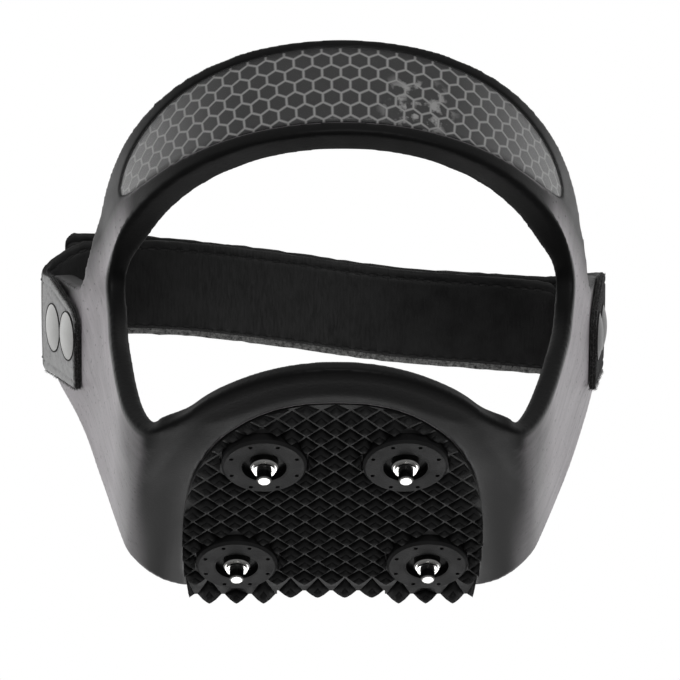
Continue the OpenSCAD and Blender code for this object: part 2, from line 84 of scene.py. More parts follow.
def shade_smooth(piece, smooth=True):
    faces = piece.data.polygons
    faces.foreach_set("use_smooth", [smooth] * len(faces))


def make_piece(name, points, faces, material=None, edges=()):
    mesh = bpy.data.meshes.new(name)
    mesh.from_pydata([tuple(float(c) * MM for c in p) for p in points], edges, faces)
    mesh.validate()
    piece = bpy.data.objects.new(name, mesh)
    bpy.context.scene.collection.objects.link(piece)
    shade_smooth(piece)
    if material:
        mesh.materials.append(material)
    return piece


def bake(piece):
    graph = bpy.context.evaluated_depsgraph_get()
    graph.update()
    solid = bpy.data.meshes.new_from_object(piece.evaluated_get(graph))
    piece.modifiers.clear()
    piece.data = solid
    return piece


def cut_away(piece, cutters):
    for cutter in cutters:
        cut = piece.modifiers.new("cut", "BOOLEAN")
        cut.operation, cut.solver, cut.object = "DIFFERENCE", "EXACT", cutter
    bake(piece)
    for cutter in cutters:
        mesh = cutter.data
        bpy.data.objects.remove(cutter)
        bpy.data.meshes.remove(mesh)


def outward_faces(piece):
    shell = bmesh.new()
    shell.from_mesh(piece.data)
    bmesh.ops.remove_doubles(shell, verts=shell.verts, dist=MERGE)
    bmesh.ops.recalc_face_normals(shell, faces=shell.faces)
    shell.to_mesh(piece.data)
    shell.free()


def lay_uv(piece, name, places):
    layer = piece.data.uv_layers.new(name=name)
    for loop in piece.data.loops:
        layer.data[loop.index].uv = places[loop.vertex_index]


def count(piece):
    return sum(len(p.vertices) - 2 for p in piece.data.polygons)


def clamp(value, low=0.0, high=1.0):
    return min(high, max(low, value))


# %% [markdown]
# ## Writing node trees
# Finishes and repeated pieces are node trees. `node` adds one node and fills its inputs: a plain
# value is typed in, and the output of another node is linked. The short functions after it add
# the nodes used most and hand back their output, so a tree reads from its source to its result.

# %% Node helpers
SCALAR_RESULTS = ("LENGTH", "DISTANCE", "DOT_PRODUCT")


def feed(socket, value):
    if isinstance(value, bpy.types.NodeSocket):
        socket.id_data.links.new(value, socket)
    else:
        socket.default_value = value


def node(tree, kind, inputs, **settings):
    made = tree.nodes.new(kind)
    for key, value in settings.items():
        setattr(made, key, value)
    for key, value in inputs.items():
        feed(made.inputs[key], value)
    return made


def math_node(tree, operation, *values):
    return node(tree, "ShaderNodeMath", dict(enumerate(values)), operation=operation).outputs[0]


def vector_math(tree, operation, *values):
    made = node(tree, "ShaderNodeVectorMath", dict(enumerate(values)), operation=operation)
    return made.outputs["Value" if operation in SCALAR_RESULTS else "Vector"]


def map_range(tree, value, low, high, to=(0.0, 1.0), soft=True):
    return node(tree, "ShaderNodeMapRange", {
        "Value": value, "From Min": low, "From Max": high, "To Min": to[0], "To Max": to[1],
    }, interpolation_type="SMOOTHSTEP" if soft else "LINEAR").outputs["Result"]


def mix_node(tree, kind, factor, a, b):
    made = node(tree, "ShaderNodeMix", {"Factor": factor, "A": a, "B": b}, data_type=kind)
    return made.outputs["Result"]


def noise_node(tree, place, scale, **more):
    inputs = {"Vector": place, "Scale": scale, **more}
    return node(tree, "ShaderNodeTexNoise", inputs).outputs["Fac"]


def object_place(tree):
    return node(tree, "ShaderNodeTexCoord", {}).outputs["Object"]


def split_xyz(tree, vector):
    return node(tree, "ShaderNodeSeparateXYZ", {0: vector}).outputs


def bump_node(tree, height, strength, distance, **more):
    return node(tree, "ShaderNodeBump", {
        "Height": height, "Strength": strength, "Distance": distance, **more,
    }).outputs["Normal"]


def start_tree(kind, name, inputs, outputs):
    tree = bpy.data.node_groups.new(name, kind)
    for title, socket, value in inputs:
        made = tree.interface.new_socket(title, in_out="INPUT", socket_type="NodeSocket" + socket)
        if value is not None:
            made.default_value = value
    for title, socket in outputs:
        tree.interface.new_socket(title, in_out="OUTPUT", socket_type="NodeSocket" + socket)
    given, out = tree.nodes.new("NodeGroupInput"), tree.nodes.new("NodeGroupOutput")
    return tree, given.outputs, out.inputs


# %% [markdown]
# ## Shader groups that several finishes share
# Rubber, leather, plastic and steel all have some fine grain and are never one even tone. Small
# node groups make such effects once: `fine_grain` gives a height for a Bump node, `uneven_tone`
# turns one colour into two close ones and varies the gloss with them, and `dust_streaks` says
# how much pale wax or dust lies on a spot. All read Object coordinates, so the marks stay where
# they are on each piece.

# %% Grain, tone and dust groups
def build_fine_grain():
    tree, given, out = start_tree(
        "ShaderNodeTree", "fine_grain",
        [("Size", "Float", 1.0), ("Pits", "Float", 0.3)], [("Height", "Float")],
    )
    where = object_place(tree)
    scale = math_node(tree, "DIVIDE", PER_M, given["Size"])
    noise = noise_node(tree, where, scale, Detail=5.0, Roughness=0.62)
    cells = node(tree, "ShaderNodeTexVoronoi", {"Vector": where, "Scale": scale})
    pits = math_node(tree, "MULTIPLY", cells.outputs["Distance"], given["Pits"])
    feed(out["Height"], math_node(tree, "ADD", noise, pits))
    return tree


def build_uneven_tone():
    tree, given, out = start_tree("ShaderNodeTree", "uneven_tone", [
        ("Dark", "Color", (0.02, 0.02, 0.02, 1)), ("Light", "Color", (0.04, 0.04, 0.04, 1)),
        ("Size", "Float", 12.0), ("Smooth", "Float", 0.4), ("Rough", "Float", 0.55),
    ], [("Color", "Color"), ("Roughness", "Float")])
    scale = math_node(tree, "DIVIDE", PER_M, given["Size"])
    noise = noise_node(tree, object_place(tree), scale, Detail=7.0, Roughness=0.66)
    mask = map_range(tree, noise, 0.33, 0.67, soft=False)
    feed(out["Color"], mix_node(tree, "RGBA", mask, given["Dark"], given["Light"]))
    feed(out["Roughness"], mix_node(tree, "FLOAT", mask, given["Smooth"], given["Rough"]))
    return tree


def build_dust_streaks():
    tree, given, out = start_tree(
        "ShaderNodeTree", "dust_streaks", [("Stretch", "Vector", (1, 1, 1))], [("Amount", "Float")],
    )
    where = object_place(tree)
    drawn = node(tree, "ShaderNodeMapping", {"Vector": where, "Scale": given["Stretch"]}).outputs[0]
    noise = noise_node(tree, drawn, 1.0, Detail=6.0, Roughness=0.7)
    streaks = map_range(tree, noise, 0.3, 0.62, (0.74, 1.0), soft=False)
    grit = noise_node(tree, where, 1100.0, Detail=2.0)
    specks = map_range(tree, grit, 0.76, 0.62, (0.35, 1.0))
    feed(out["Amount"], math_node(tree, "MULTIPLY", streaks, specks))
    return tree


fine_grain, uneven_tone = build_fine_grain(), build_uneven_tone()
dust_streaks = build_dust_streaks()
print("shader groups:", fine_grain.name, uneven_tone.name, dust_streaks.name)

# %% [markdown]
# ## Rubber, plastic, steel and leather
# One function lays out the nodes that these finishes share: tone into Base Color and Roughness,
# grain into a Bump. `recolour` mixes one more colour over what is there. The function after it
# uses this for the pale bloom of rubber, fine wax and dust together with a painted sheen: a Layer
# Weight node lightens the faces seen at a slant and keeps the faces turned to the viewer black.
# `shade_by_place` paints shade into a finish: it darkens it with the distance from a point, for
# places that little light reaches, and can lessen its shine there.

# %% Shared finish
GRAIN_DEPTH = 0.0002


def new_material(name):
    material = bpy.data.materials.new(name)
    material.use_nodes = True
    return material


def opened(material):
    return material.node_tree, material.node_tree.nodes["Principled BSDF"].inputs


def tone_node(tree, dark, light, size, smooth, rough):
    return node(tree, "ShaderNodeGroup", {
        "Dark": (*dark, 1), "Light": (*light, 1), "Size": size, "Smooth": smooth, "Rough": rough,
    }, node_tree=uneven_tone).outputs


def finish_material(name, dark, light, tone, smooth, rough, grain, pits, bump, metal=0.0):
    material = new_material(name)
    tree, shader = opened(material)
    feed(shader["Metallic"], metal)
    tint = tone_node(tree, dark, light, tone, smooth, rough)
    feed(shader["Base Color"], tint["Color"])
    feed(shader["Roughness"], tint["Roughness"])
    fine = node(tree, "ShaderNodeGroup", {"Size": grain, "Pits": pits}, node_tree=fine_grain)
    feed(shader["Normal"], bump_node(tree, fine.outputs["Height"], bump, GRAIN_DEPTH))
    return material


def recolour(material, factor, colour):
    tree, shader = opened(material)
    under = shader["Base Color"].links[0].from_socket
    feed(shader["Base Color"], mix_node(tree, "RGBA", factor, under, (*colour, 1)))


def add_dust_and_painted_sheen(material, colour, start, full, stretch, mask=None):
    tree = material.node_tree
    slant = node(tree, "ShaderNodeLayerWeight", {"Blend": 0.5}).outputs["Facing"]
    dust = node(tree, "ShaderNodeGroup", {"Stretch": stretch}, node_tree=dust_streaks)
    painted_sheen = map_range(tree, slant, start, full)
    # Painted sheen on faces seen at a slant, times the dust and wax pattern.
    amount = math_node(tree, "MULTIPLY", painted_sheen, dust.outputs["Amount"])
    if mask:
        kept = node(tree, "ShaderNodeAttribute", {}, attribute_name=mask).outputs["Fac"]
        amount = math_node(tree, "MULTIPLY", amount, kept)
    recolour(material, amount, colour)


def shade_by_place(material, centre, scale, low, high, dark, shine=None):
    tree, shader = opened(material)
    moved = node(tree, "ShaderNodeMapping", {
        "Vector": object_place(tree), "Location": centre, "Scale": scale,
    }, vector_type="TEXTURE").outputs[0]
    away = map_range(tree, vector_math(tree, "LENGTH", moved), low, high)
    recolour(material, away, dark)
    if shine:
        feed(shader["Specular IOR Level"], map_range(tree, away, 0.0, 1.0, shine, soft=False))


# %% Finishes
# Each row: dark and light tone, size of the tone in mm, roughness of the smooth and of the rough
# spots, size of the grain in mm, share of pits, strength of the bump, and metal or not.
FINISHES = {
    "moulded_rubber": (
        (0.015, 0.0148, 0.015), (0.023, 0.0225, 0.023), 9, 0.38, 0.48, 0.5, 0.25, 0.18),
    "tread_rubber": ((0.013, 0.013, 0.0133), (0.02, 0.02, 0.0205), 5, 0.6, 0.75, 0.6, 0.3, 0.25),
    # The groove floor is a lighter copy of the tread rubber: painted light on the narrow grooves.
    "groove_rubber": ((0.06, 0.06, 0.061), (0.105, 0.105, 0.106), 3, 0.5, 0.65, 0.6, 0.3, 0.25),
    "disc_plastic": ((0.015, 0.015, 0.0155), (0.021, 0.021, 0.0215), 4, 0.45, 0.6, 0.35, 0.5, 0.25),
    "turned_steel": (
        (0.6, 0.595, 0.58), (0.75, 0.745, 0.73), 1.2, 0.14, 0.26, 0.25, 0.2, 0.15, 1.0),
    "hard_pin": ((0.42, 0.42, 0.41), (0.55, 0.545, 0.53), 0.8, 0.24, 0.34, 0.2, 0.2, 0.04, 1.0),
    "rivet_nickel": ((0.33, 0.33, 0.325), (0.44, 0.44, 0.43), 2.0, 0.3, 0.48, 0.3, 0.2, 0.2, 1.0),
    # A darker copy of the rivet nickel: painted shade for the caps on the right ear.
    "dull_nickel": ((0.05, 0.05, 0.05), (0.14, 0.14, 0.138), 2.0, 0.3, 0.48, 0.3, 0.2, 0.2, 1.0),
    "cut_edge": ((0.012, 0.012, 0.012), (0.045, 0.043, 0.041), 0.8, 0.75, 0.95, 0.22, 1.2, 0.9),
    "thread": ((0.016, 0.016, 0.016), (0.05, 0.05, 0.05), 0.6, 0.5, 0.7, 0.15, 0.6, 0.6),
    "pile": ((0.006, 0.006, 0.006), (0.022, 0.022, 0.022), 0.5, 0.85, 1.0, 0.3, 2.0, 1.0),
    "suede": ((0.09, 0.09, 0.091), (0.7, 0.7, 0.7), 1.1, 0.8, 0.95, 0.3, 1.0, 0.8),
    "dark_suede": ((0.006, 0.006, 0.006), (0.03, 0.03, 0.03), 1.6, 0.8, 0.95, 0.3, 1.0, 0.8),
    "raw_edge": ((0.03, 0.03, 0.03), (0.6, 0.6, 0.59), 0.7, 0.8, 0.95, 0.25, 1.0, 0.8),
    "fibre": ((0.02, 0.02, 0.02), (0.3, 0.3, 0.3), 0.5, 0.8, 0.95, 0.2, 1.0, 0.4),
    "strap_leather": (
        (0.014, 0.014, 0.0143), (0.034, 0.034, 0.0343), 7, 0.42, 0.56, 0.45, 0.6, 0.14),
}
finish = {name: finish_material(name, *values) for name, values in FINISHES.items()}
FLAT = 1000  # a scale so large that the distance along that axis doesn't count
# Painted shade on the moulded rubber: darker and less shiny away from the front of the sole, as on
# the rear lip.
shade_by_place(
    finish["moulded_rubber"], (0, 0.025, -0.005), (MM, MM, MM), 40, 56,
    (0.007, 0.007, 0.0072), (0.66, 0.2),
)
# Pale dust and a painted sheen on faces seen at a slant: on the rubber where its attribute allows,
# and on the suede.
add_dust_and_painted_sheen(finish["moulded_rubber"], (0.66, 0.62, 0.65), 0.53, 0.655, (80, 450, 50), "dust_and_sheen")
add_dust_and_painted_sheen(finish["suede"], (0.88, 0.88, 0.88), 0.4, 0.85, (700, 700, 500))
# Painted shade on the groove floor: darker near the pad's edge and in a band between the front
# teeth.
for centre, scale, low, high, dark in (
    ((0, 0.013, 0), (0.0293, 0.046, FLAT), 0.86, 0.98, 0.012),
    ((0, 0.03, 0), (FLAT, MM, FLAT), 4.8, 4.0, 0.014),
):
    shade_by_place(finish["groove_rubber"], centre, scale, low, high, (dark,) * 3)
# Painted shade on the pins: darkened everywhere but at the flat tip.
shade_by_place(finish["hard_pin"], (0, 0, -0.01), (FLAT, FLAT, MM), 0.1, 0.3, (0.06,) * 3)
for name, socket, value in (
    ("tread_rubber", "Specular IOR Level", 0.25), ("disc_plastic", "Specular IOR Level", 0.25),
    ("pile", "Sheen Weight", 0.2),
):
    feed(opened(finish[name])[1][socket], value)
print("finishes:", len(finish))

# %% [markdown]
# ## The harness cage
# The harness is one ribbon of rubber that runs right round the rear window: along the sole, up a
# side wall, past the ear, along the arm, and back down the other side. A few rows of control
# points describe it. Each row holds a point on the front or top edge, one part way across and
# one on the window's edge, with the rubber's thickness at each. Cutting the corners of the cage
# again and again turns it into a smooth ring, which is simpler to aim than a sculpted mesh. The
# window's edge is then evened out along the arms, where it would still wave a little.

# %% Driving sizes
SOLE_FRONT, SOLE_FLAT, SOLE_T = 27.2, 27.5, 5.0
RIM_R, RIM_BACK, LIP_W, LIP_RISE, LIP_T = 35.0, 8.5, 7.0, 2.2, 2.8
SEAT_DEPTH, CORNER_R, WALL_LEAN, WALL_T, RIM_T = 0.2, 15.0, 17.0, 5.0, 3.8
WINDOW_Z, WINDOW_BACK, WINDOW_HW, WINDOW_LOW_HW, WINDOW_LOW_Z = 36.0, 10.0, 45.6, 38.8, 2.5
LOOP_TOP, BAND_H, LOOP_HW, LOOP_DEPTH, LOOP_BACK = 74.0, 23.5, 49.0, 44.0, 5.0
LOOP_DRAFT, ARM_DROP, LOW_DROP, SWAY = 1.6, 19.0, 0.58, 2.0
LEAN, WALL_FLARE = math.radians(50.0), math.radians(13.0)
FLARE = {-1: math.radians(21.0), 1: math.radians(11.0)}
EAR_ROOT, EAR_HW, EAR_LEN, EAR_MID, EAR_CORNER = 39.5, 52.8, 20.0, 22.5, 4.0
TAB_BACK, TAB_FALL, TAB_SLANT = 2.2, 4.4, 18.0
EAR_CUT, HEAD_CUT, ARM_FRONT = 0.5, 0.4, -TAB_BACK - 1.3
STRAP_W, STRAP_T = 20.5, 1.6
UNDER_Z = SEAT_DEPTH - SOLE_T
GRIP = WALL_T - EAR_CUT - HEAD_CUT
HALF_W = STRAP_W / 2


def leaning(x, w, h):
    c, s = math.cos(LEAN), math.sin(LEAN)
    return np.array([x, w * c - h * s, w * s + h * c])


def on_ear(side, along, across, out=0.0, flare=None):
    f = FLARE[side] if flare is None else flare
    c, s = math.cos(f), math.sin(f)
    x = EAR_HW + side * SWAY / 2 + along * s + out * c
    return leaning(x, EAR_ROOT + along * c - out * s, EAR_MID + across)


def rim(angle, r, z):
    a = math.radians(angle)
    return np.array([r * math.sin(a), -RIM_BACK - r * math.cos(a), z])


def loop_edge(side, angle, inset, fall, z):
    a = math.radians(angle)
    x = (LOOP_HW - inset) * math.sin(a) + side * SWAY
    y = -LOOP_BACK - (LOOP_DEPTH - inset) * math.cos(a)
    return np.array([x, y, z - fall * (1 - math.cos(a)) ** 2])


def top_edge(side, angle):
    return loop_edge(side, angle, 0, ARM_DROP, LOOP_TOP)


def low_edge(side, angle):
    return loop_edge(side, angle, LOOP_DRAFT, LOW_DROP * ARM_DROP, LOOP_TOP - BAND_H)


def corner_front(angle):
    a = math.radians(angle)
    x, z = SOLE_FLAT + CORNER_R * math.sin(a), UNDER_Z + CORNER_R * (1 - math.cos(a))
    return np.array([x, SOLE_FRONT, z])


print("seat to stud face in mm:", round(-UNDER_Z, 2), "ear grip:", round(GRIP, 2))

# %% Rows of the cage
INLAY, ARM_INLAY, ARM_SHARE = 0.8, 0.4, 27.5
SIDEWAYS = np.array([1.0, 0, 0])
CORNER_RISE, FOOT_IN, FOOT_DROP, LOW_REACH = 0.6, 4, 0.3, 0.32
EAR_UP, EAR_WIDE, TOP_WIDE, EAR_OVER = 0.85, 0.9, 0.1, 2
# Angles in degrees: round the sole's rim, round the corner, along the arm's top and low edge.
RIM_TURNS, CORNER_TURNS, ARM_TURN, ARM_LOW_TURNS = (20, 41, 57), (30, 62), 83, (81, 77, 73)
# Up the wall: share of its height, share of the window's height, bulge and width in mm.
WALL_STEPS = ((0.06, 0, 0.3, 0.6), (0.36, 0.35, 1.0, 1.3), (0.68, 0.65, 0.7, 1.2))
# Round the loop: angle of the top edge and of the low edge in degrees.
LOOP_STEPS = ((72, 67), (58, 55), (40, 38), (20, 19))


def mix(a, b, t):
    return (1 - t) * a + t * b


def row(front, middle, window, t_front, t_middle, t_window, proud=0.0):
    return np.array([front, middle, window, [t_front, t_middle, t_window], [proud, proud, proud]])


def sole_row(x, angle):
    lip_root, lip_edge = rim(angle, RIM_R - LIP_W, UNDER_Z), rim(angle, RIM_R, UNDER_Z + LIP_RISE)
    return row([x, SOLE_FRONT, UNDER_Z], lip_root, lip_edge, SOLE_T, SOLE_T, LIP_T)


def wall_row(front, window, proud=0.0):
    return row(front, (front + window) / 2, window, WALL_T, (WALL_T + RIM_T) / 2, RIM_T, proud)


def ear_row(side, up, window):
    front, middle = on_ear(side, EAR_LEN, up, EAR_CUT), on_ear(side, 0, up, EAR_CUT)
    return row(front, middle, window, WALL_T, (WALL_T + RIM_T) / 2, RIM_T)


def loop_row(side, a, b):
    top, low = top_edge(side, a), low_edge(side, b)
    return row(top, (top + low) / 2, low, WALL_T, WALL_T, WALL_T, INLAY)


window_low = np.array([WINDOW_LOW_HW, -RIM_BACK - RIM_R * LOW_REACH, WINDOW_LOW_Z])
foot_z = UNDER_Z + LIP_RISE - FOOT_DROP
window_foot = np.array([WINDOW_LOW_HW - FOOT_IN, window_low[1] - FOOT_IN, foot_z])


def side_rows(side):
    corner, foot = (corner_front(turn) for turn in CORNER_TURNS)
    wall_low = corner_front(90 - WALL_LEAN)
    wall_top = on_ear(side, EAR_LEN, -HALF_W, EAR_CUT, WALL_FLARE)
    window_top = np.array([WINDOW_HW + side * SWAY, -WINDOW_BACK, WINDOW_Z])
    arm, ear = top_edge(side, ARM_TURN), on_ear(side, EAR_LEN / 3, STRAP_W, EAR_CUT)
    ear_low, arm_low, arm_end = (low_edge(side, turn) for turn in ARM_LOW_TURNS)
    share = ARM_SHARE / math.degrees(FLARE[side]) ** 1.5
    lip_root = rim(RIM_TURNS[2], RIM_R - LIP_W / 2, UNDER_Z + CORNER_RISE)
    lip_edge = rim(RIM_TURNS[2], RIM_R, UNDER_Z + LIP_RISE)
    rows = [
        sole_row(SOLE_FLAT / 2, RIM_TURNS[0]),
        sole_row(SOLE_FLAT, RIM_TURNS[1]),
        row(corner, lip_root, lip_edge, SOLE_T, SOLE_T, LIP_T),
        row(foot, (foot + window_foot) / 2, window_foot, WALL_T, (WALL_T + LIP_T) / 2, LIP_T),
    ]
    for up, t, bulge, wide in WALL_STEPS:
        front = mix(wall_low, wall_top, up) + max(side, 0) * bulge * SIDEWAYS
        rows.append(wall_row(front, mix(window_low, window_top, t) + wide * SIDEWAYS))
    rows += [
        ear_row(side, -HALF_W, mix(window_low, window_top, EAR_UP) + EAR_WIDE * SIDEWAYS),
        ear_row(side, 0, window_top + TOP_WIDE * SIDEWAYS),
        ear_row(side, HALF_W + EAR_OVER, ear_low),
        wall_row(mix(arm, ear, share), arm_low),
        wall_row(mix(arm, ear, share / 5), arm_end, ARM_INLAY * INLAY),
    ]
    return rows + [loop_row(side, a, b) for a, b in LOOP_STEPS]


right_rows, left_rows = side_rows(1), side_rows(-1)
flip = np.array([[-1, 1, 1], [-1, 1, 1], [-1, 1, 1], [1, 1, 1], [1, 1, 1]])
cage = [sole_row(0, 0), *right_rows, loop_row(1, 0, 0), *[r * flip for r in reversed(left_rows)]]
print("cage rows:", len(cage))

# %% Smooth ring
CORNER_CUTS, EVEN_WIDTH, EVEN_REACH = 4, 9, 24
ARM_LOW, ARM_HIGH, ARM_FADE = 14, 60, 8

ring = np.array(cage)
for _ in range(CORNER_CUTS):
    following = np.roll(ring, -1, axis=0)
    ring = np.stack([0.75 * ring + 0.25 * following, 0.25 * ring + 0.75 * following], axis=1)
    ring = ring.reshape(-1, 5, 3)
STATIONS = len(ring)
reach = np.arange(-EVEN_REACH, EVEN_REACH + 1)
bell = np.exp(-0.5 * (reach / EVEN_WIDTH) ** 2)
rim_path = ring[:, 2].copy()
even = sum(b * np.roll(rim_path, -k, axis=0) for b, k in zip(bell, reach)) / bell.sum()
height = rim_path[:, 2]
on_arm = np.clip((height - ARM_LOW) / ARM_FADE, 0, 1)
on_arm *= np.clip((ARM_HIGH - height) / ARM_FADE, 0, 1)
ring[:, 2] += (even - rim_path) * on_arm[:, None]
print("smooth stations:", STATIONS)

# %% Skin of the ring
NORMAL_STEP, NORMAL_REACH = 0.06, 3
FRONT_SAMPLES, WINDOW_SAMPLES = 15, 25
LIP_SHIFT, LIP_START, LIP_FADE = np.array([0, 1.5, -0.9]), 0.35, 0.5


def across(rows, v):
    v = np.asarray(v, float)[None, :, None]
    first = rows[:, 0, None] + (rows[:, 1, None] - rows[:, 0, None]) * np.clip(2 * v, 0, 1)
    second = (rows[:, 2, None] - rows[:, 1, None]) * np.clip(2 * v - 1, 0, 1)
    return first + second


def value_across(rows, v, k):
    v = np.asarray(v, float)[None, :]
    a, b, c = rows[:, k, 0:1], rows[:, k, 1:2], rows[:, k, 2:3]
    return (a + (b - a) * np.clip(2 * v, 0, 1) + (c - b) * np.clip(2 * v - 1, 0, 1))[..., None]


def step_across(rows, v, low=-np.inf, high=np.inf):
    after, before = (np.clip(v + step, low, high) for step in (NORMAL_STEP, -NORMAL_STEP))
    return across(rows, after) - across(rows, before)


SPREAD = np.concatenate([
    np.linspace(0, 0.5, FRONT_SAMPLES), np.linspace(0.5, 1, WINDOW_SAMPLES)[1:],
])
skin = across(ring, SPREAD)
lip = np.clip((RIM_T - ring[:, 3, 2]) / (RIM_T - LIP_T), 0, 1)[:, None]
skin += (lip * np.clip((SPREAD - LIP_START) / LIP_FADE, 0, 1))[..., None] * LIP_SHIFT
step_along = np.roll(skin, -NORMAL_REACH, axis=0) - np.roll(skin, NORMAL_REACH, axis=0)
normal = np.cross(step_along, step_across(ring, SPREAD, 0, 1))
normal /= np.linalg.norm(normal, axis=2, keepdims=True)
thick, proud = value_across(ring, SPREAD, 3), value_across(ring, SPREAD, 4)
print("skin samples:", skin.shape[:2])

# %% [markdown]
# ## Moulding the harness
# The ring becomes a closed solid by joining its outer skin to an inner one. What the mould cuts
# away is then taken off with Boolean modifiers: the ledges above the ears, the recess for the
# tread, the inlay for the reflective strip, the seat and the pockets for stud flanges and rivet
# heads. A voxel remesh and a little smoothing melt all of it into one piece with the soft edges
# of moulded rubber, which bevels on each cut would not do. An attribute on the mesh says how
# much of the dust and painted sheen each point keeps: none along the window's edge, part on the
# sole and almost none on the loop, so these stay dark.

# %% Ring solid
BEAD, BEAD_AT, BEAD_WIDTH = 0.12, 0.9, 0.1
FRONT_IN, FRONT_OUTER, FRONT_INNER, WINDOW_IN = 1.5, 0.4, 0.8, 0.5
FRONT_LIMITS, WINDOW_LIMITS = (0.05, 0.45), (0.02, 0.45)
# Shares of the rubber's depth at which the two points of each rounded edge lie.
WINDOW_ROUND, FRONT_ROUND = (0.12, 0.85), (0.75, 0.25)


def ring_solid():
    bead = BEAD * np.exp(-((SPREAD - BEAD_AT) / BEAD_WIDTH) ** 2)
    outer = skin + (proud + (lip * bead)[..., None]) * normal
    inner = skin - thick * normal
    first, last = (np.linalg.norm(skin[:, k] - skin[:, k - 1], axis=1) for k in (1, -1))
    lead = np.clip(FRONT_IN / first, *FRONT_LIMITS)[:, None]
    tail = np.clip(WINDOW_IN / last, *WINDOW_LIMITS)[:, None]
    for face, share in ((outer, FRONT_OUTER), (inner, FRONT_INNER)):
        face[:, 0] += (face[:, 1] - face[:, 0]) * lead * share
        face[:, -1] += (face[:, -2] - face[:, -1]) * tail

    def on_edge(edge, share):
        depth = (proud - share * (thick + proud))[:, edge]
        return (skin[:, edge] + depth * normal[:, edge])[:, None]

    window = [on_edge(-1, share) for share in WINDOW_ROUND]
    front = [on_edge(0, share) for share in FRONT_ROUND]
    return np.concatenate([outer, *window, inner[:, ::-1], *front], axis=1)


def loft(sections, closed_ring=True):
    rows, cols = sections.shape[:2]
    faces = []
    for i in range(rows if closed_ring else rows - 1):
        j = (i + 1) % rows
        for k in range(cols):
            m = (k + 1) % cols
            faces.append((i * cols + k, j * cols + k, j * cols + m, i * cols + m))
    if not closed_ring:
        faces.append(tuple(range(cols)))
        faces.append(tuple((rows - 1) * cols + k for k in reversed(range(cols))))
    return sections.reshape(-1, 3), faces


harness = make_piece("rubber_harness", *loft(ring_solid()), finish["moulded_rubber"])
outward_faces(harness)
print("ring solid:", count(harness), "triangles")

# %% Cutters
PAD_HW, PAD_WIDE_Y, PAD_REAR, PAD_FRONT, PAD_SQUARE = 29.3, 13.0, 46.0, 27.6, 2.3
PAD_STEPS, SEAT_IN = 64, 2.5
STUDS = [(-13.2, -16.2), (13.2, -16.2), (-18.7, 16.2), (18.7, 16.2)]
FLANGE_R, FLANGE_Z, HEAD_R = 6.1, -1.25, 4.7
RIVET_MID, RIVET_PITCH = 8.0, 10.4
RIVETS = [RIVET_MID - RIVET_PITCH / 2, RIVET_MID + RIVET_PITCH / 2]
RECESS_Z, RECESS_GROW = UNDER_Z + 1.0, 0.1
# How far each cutter passes beyond the rubber that it takes away.
CUT_FAR, LEDGE_PAST, FACE_PAST, RECESS_PAST, SEAT_PAST = 40, 15, 5, 4, 2
LEDGE_RISE, LEDGE_TURNS = 1.1 * EAR_LEN, np.radians(np.arange(180, 271, 15))
ROOM_REAR, ROOM_FORE, ROOM_LOW, ROOM_HIGH = 1, 4, 2, 4


def pad_outline(grow):
    top = math.asin(((PAD_FRONT - PAD_WIDE_Y) / PAD_REAR) ** (PAD_SQUARE / 2))
    turn = np.linspace(math.pi - top, 2 * math.pi + top, PAD_STEPS)
    x, y = (np.sign(f) * np.abs(f) ** (2 / PAD_SQUARE) for f in (np.cos(turn), np.sin(turn)))
    return np.stack([(PAD_HW + grow) * x, PAD_WIDE_Y + (PAD_REAR + grow) * y], axis=1)


def prism(name, outline, low, high, place=lambda p: p):
    n = len(outline)
    points = [place(np.array([x, y, z])) for z in (low, high) for x, y in outline]
    faces = [(k, (k + 1) % n, n + (k + 1) % n, n + k) for k in range(n)]
    faces += [tuple(reversed(range(n))), tuple(range(n, 2 * n))]
    cutter = make_piece(name, points, faces)
    outward_faces(cutter)
    return cutter


def circle(x, y, r, steps=40):
    turn = np.linspace(0, 2 * math.pi, steps, endpoint=False)
    return np.stack([x + r * np.cos(turn), y + r * np.sin(turn)], axis=1)


def ear_space(side):
    def place(p):
        q = on_ear(side, p[0], p[1], p[2])
        return np.array([side * q[0], q[1], q[2]])
    return place


ledge = [(CUT_FAR, HALF_W), (CUT_FAR, HALF_W + CUT_FAR), (0, HALF_W + CUT_FAR),
         (0, HALF_W + LEDGE_RISE)]
for a in LEDGE_TURNS:
    round_x, round_y = EAR_CORNER * (1 + math.cos(a)), EAR_CORNER * (1 + math.sin(a))
    ledge.append((ARM_FRONT + round_x, HALF_W + round_y))
rear, fore = -TAB_BACK - ROOM_REAR, EAR_LEN + ROOM_FORE
low, high = -HALF_W - ROOM_LOW, HALF_W + ROOM_HIGH
face = [(rear, low), (fore, low), (fore, high), (rear, high)]
seat = pad_outline(-SEAT_IN)
seat[:, 1] = np.minimum(seat[:, 1], SOLE_FRONT - SEAT_IN)
cutters = [
    prism("recess", pad_outline(RECESS_GROW), UNDER_Z - RECESS_PAST, RECESS_Z),
    prism("seat", seat, 0, SEAT_PAST),
]
cutters += [prism("flange", circle(x, y, FLANGE_R), FLANGE_Z, SEAT_PAST) for x, y in STUDS]
for side in (-1, 1):
    cutters.append(prism("ledge", ledge, -LEDGE_PAST, LEDGE_PAST, ear_space(side)))
    cutters.append(prism("ear_face", face, 0, FACE_PAST, ear_space(side)))
    for along in RIVETS:
        spot = circle(along, 0, HEAD_R)
        cutters.append(prism("head_spot", spot, -GRIP - FACE_PAST, -GRIP, ear_space(side)))
print("cutters:", len(cutters))

# %% Strip outline
STRIP_TOP, STRIP_H = 2.4, 18.3
STRIP_REACH, STRIP_STEPS = 60, 12
END_TAPER, END_LEAST, END_POWER = 0.3, 0.03, 6
INLAY_FLOOR, INLAY_TOP, INLAY_GROW = -0.02, 3.0, 0.3
PER_ROW = 2 ** CORNER_CUTS
LOOP_MID = (len(right_rows) + 1) * PER_ROW - PER_ROW // 2 + 1


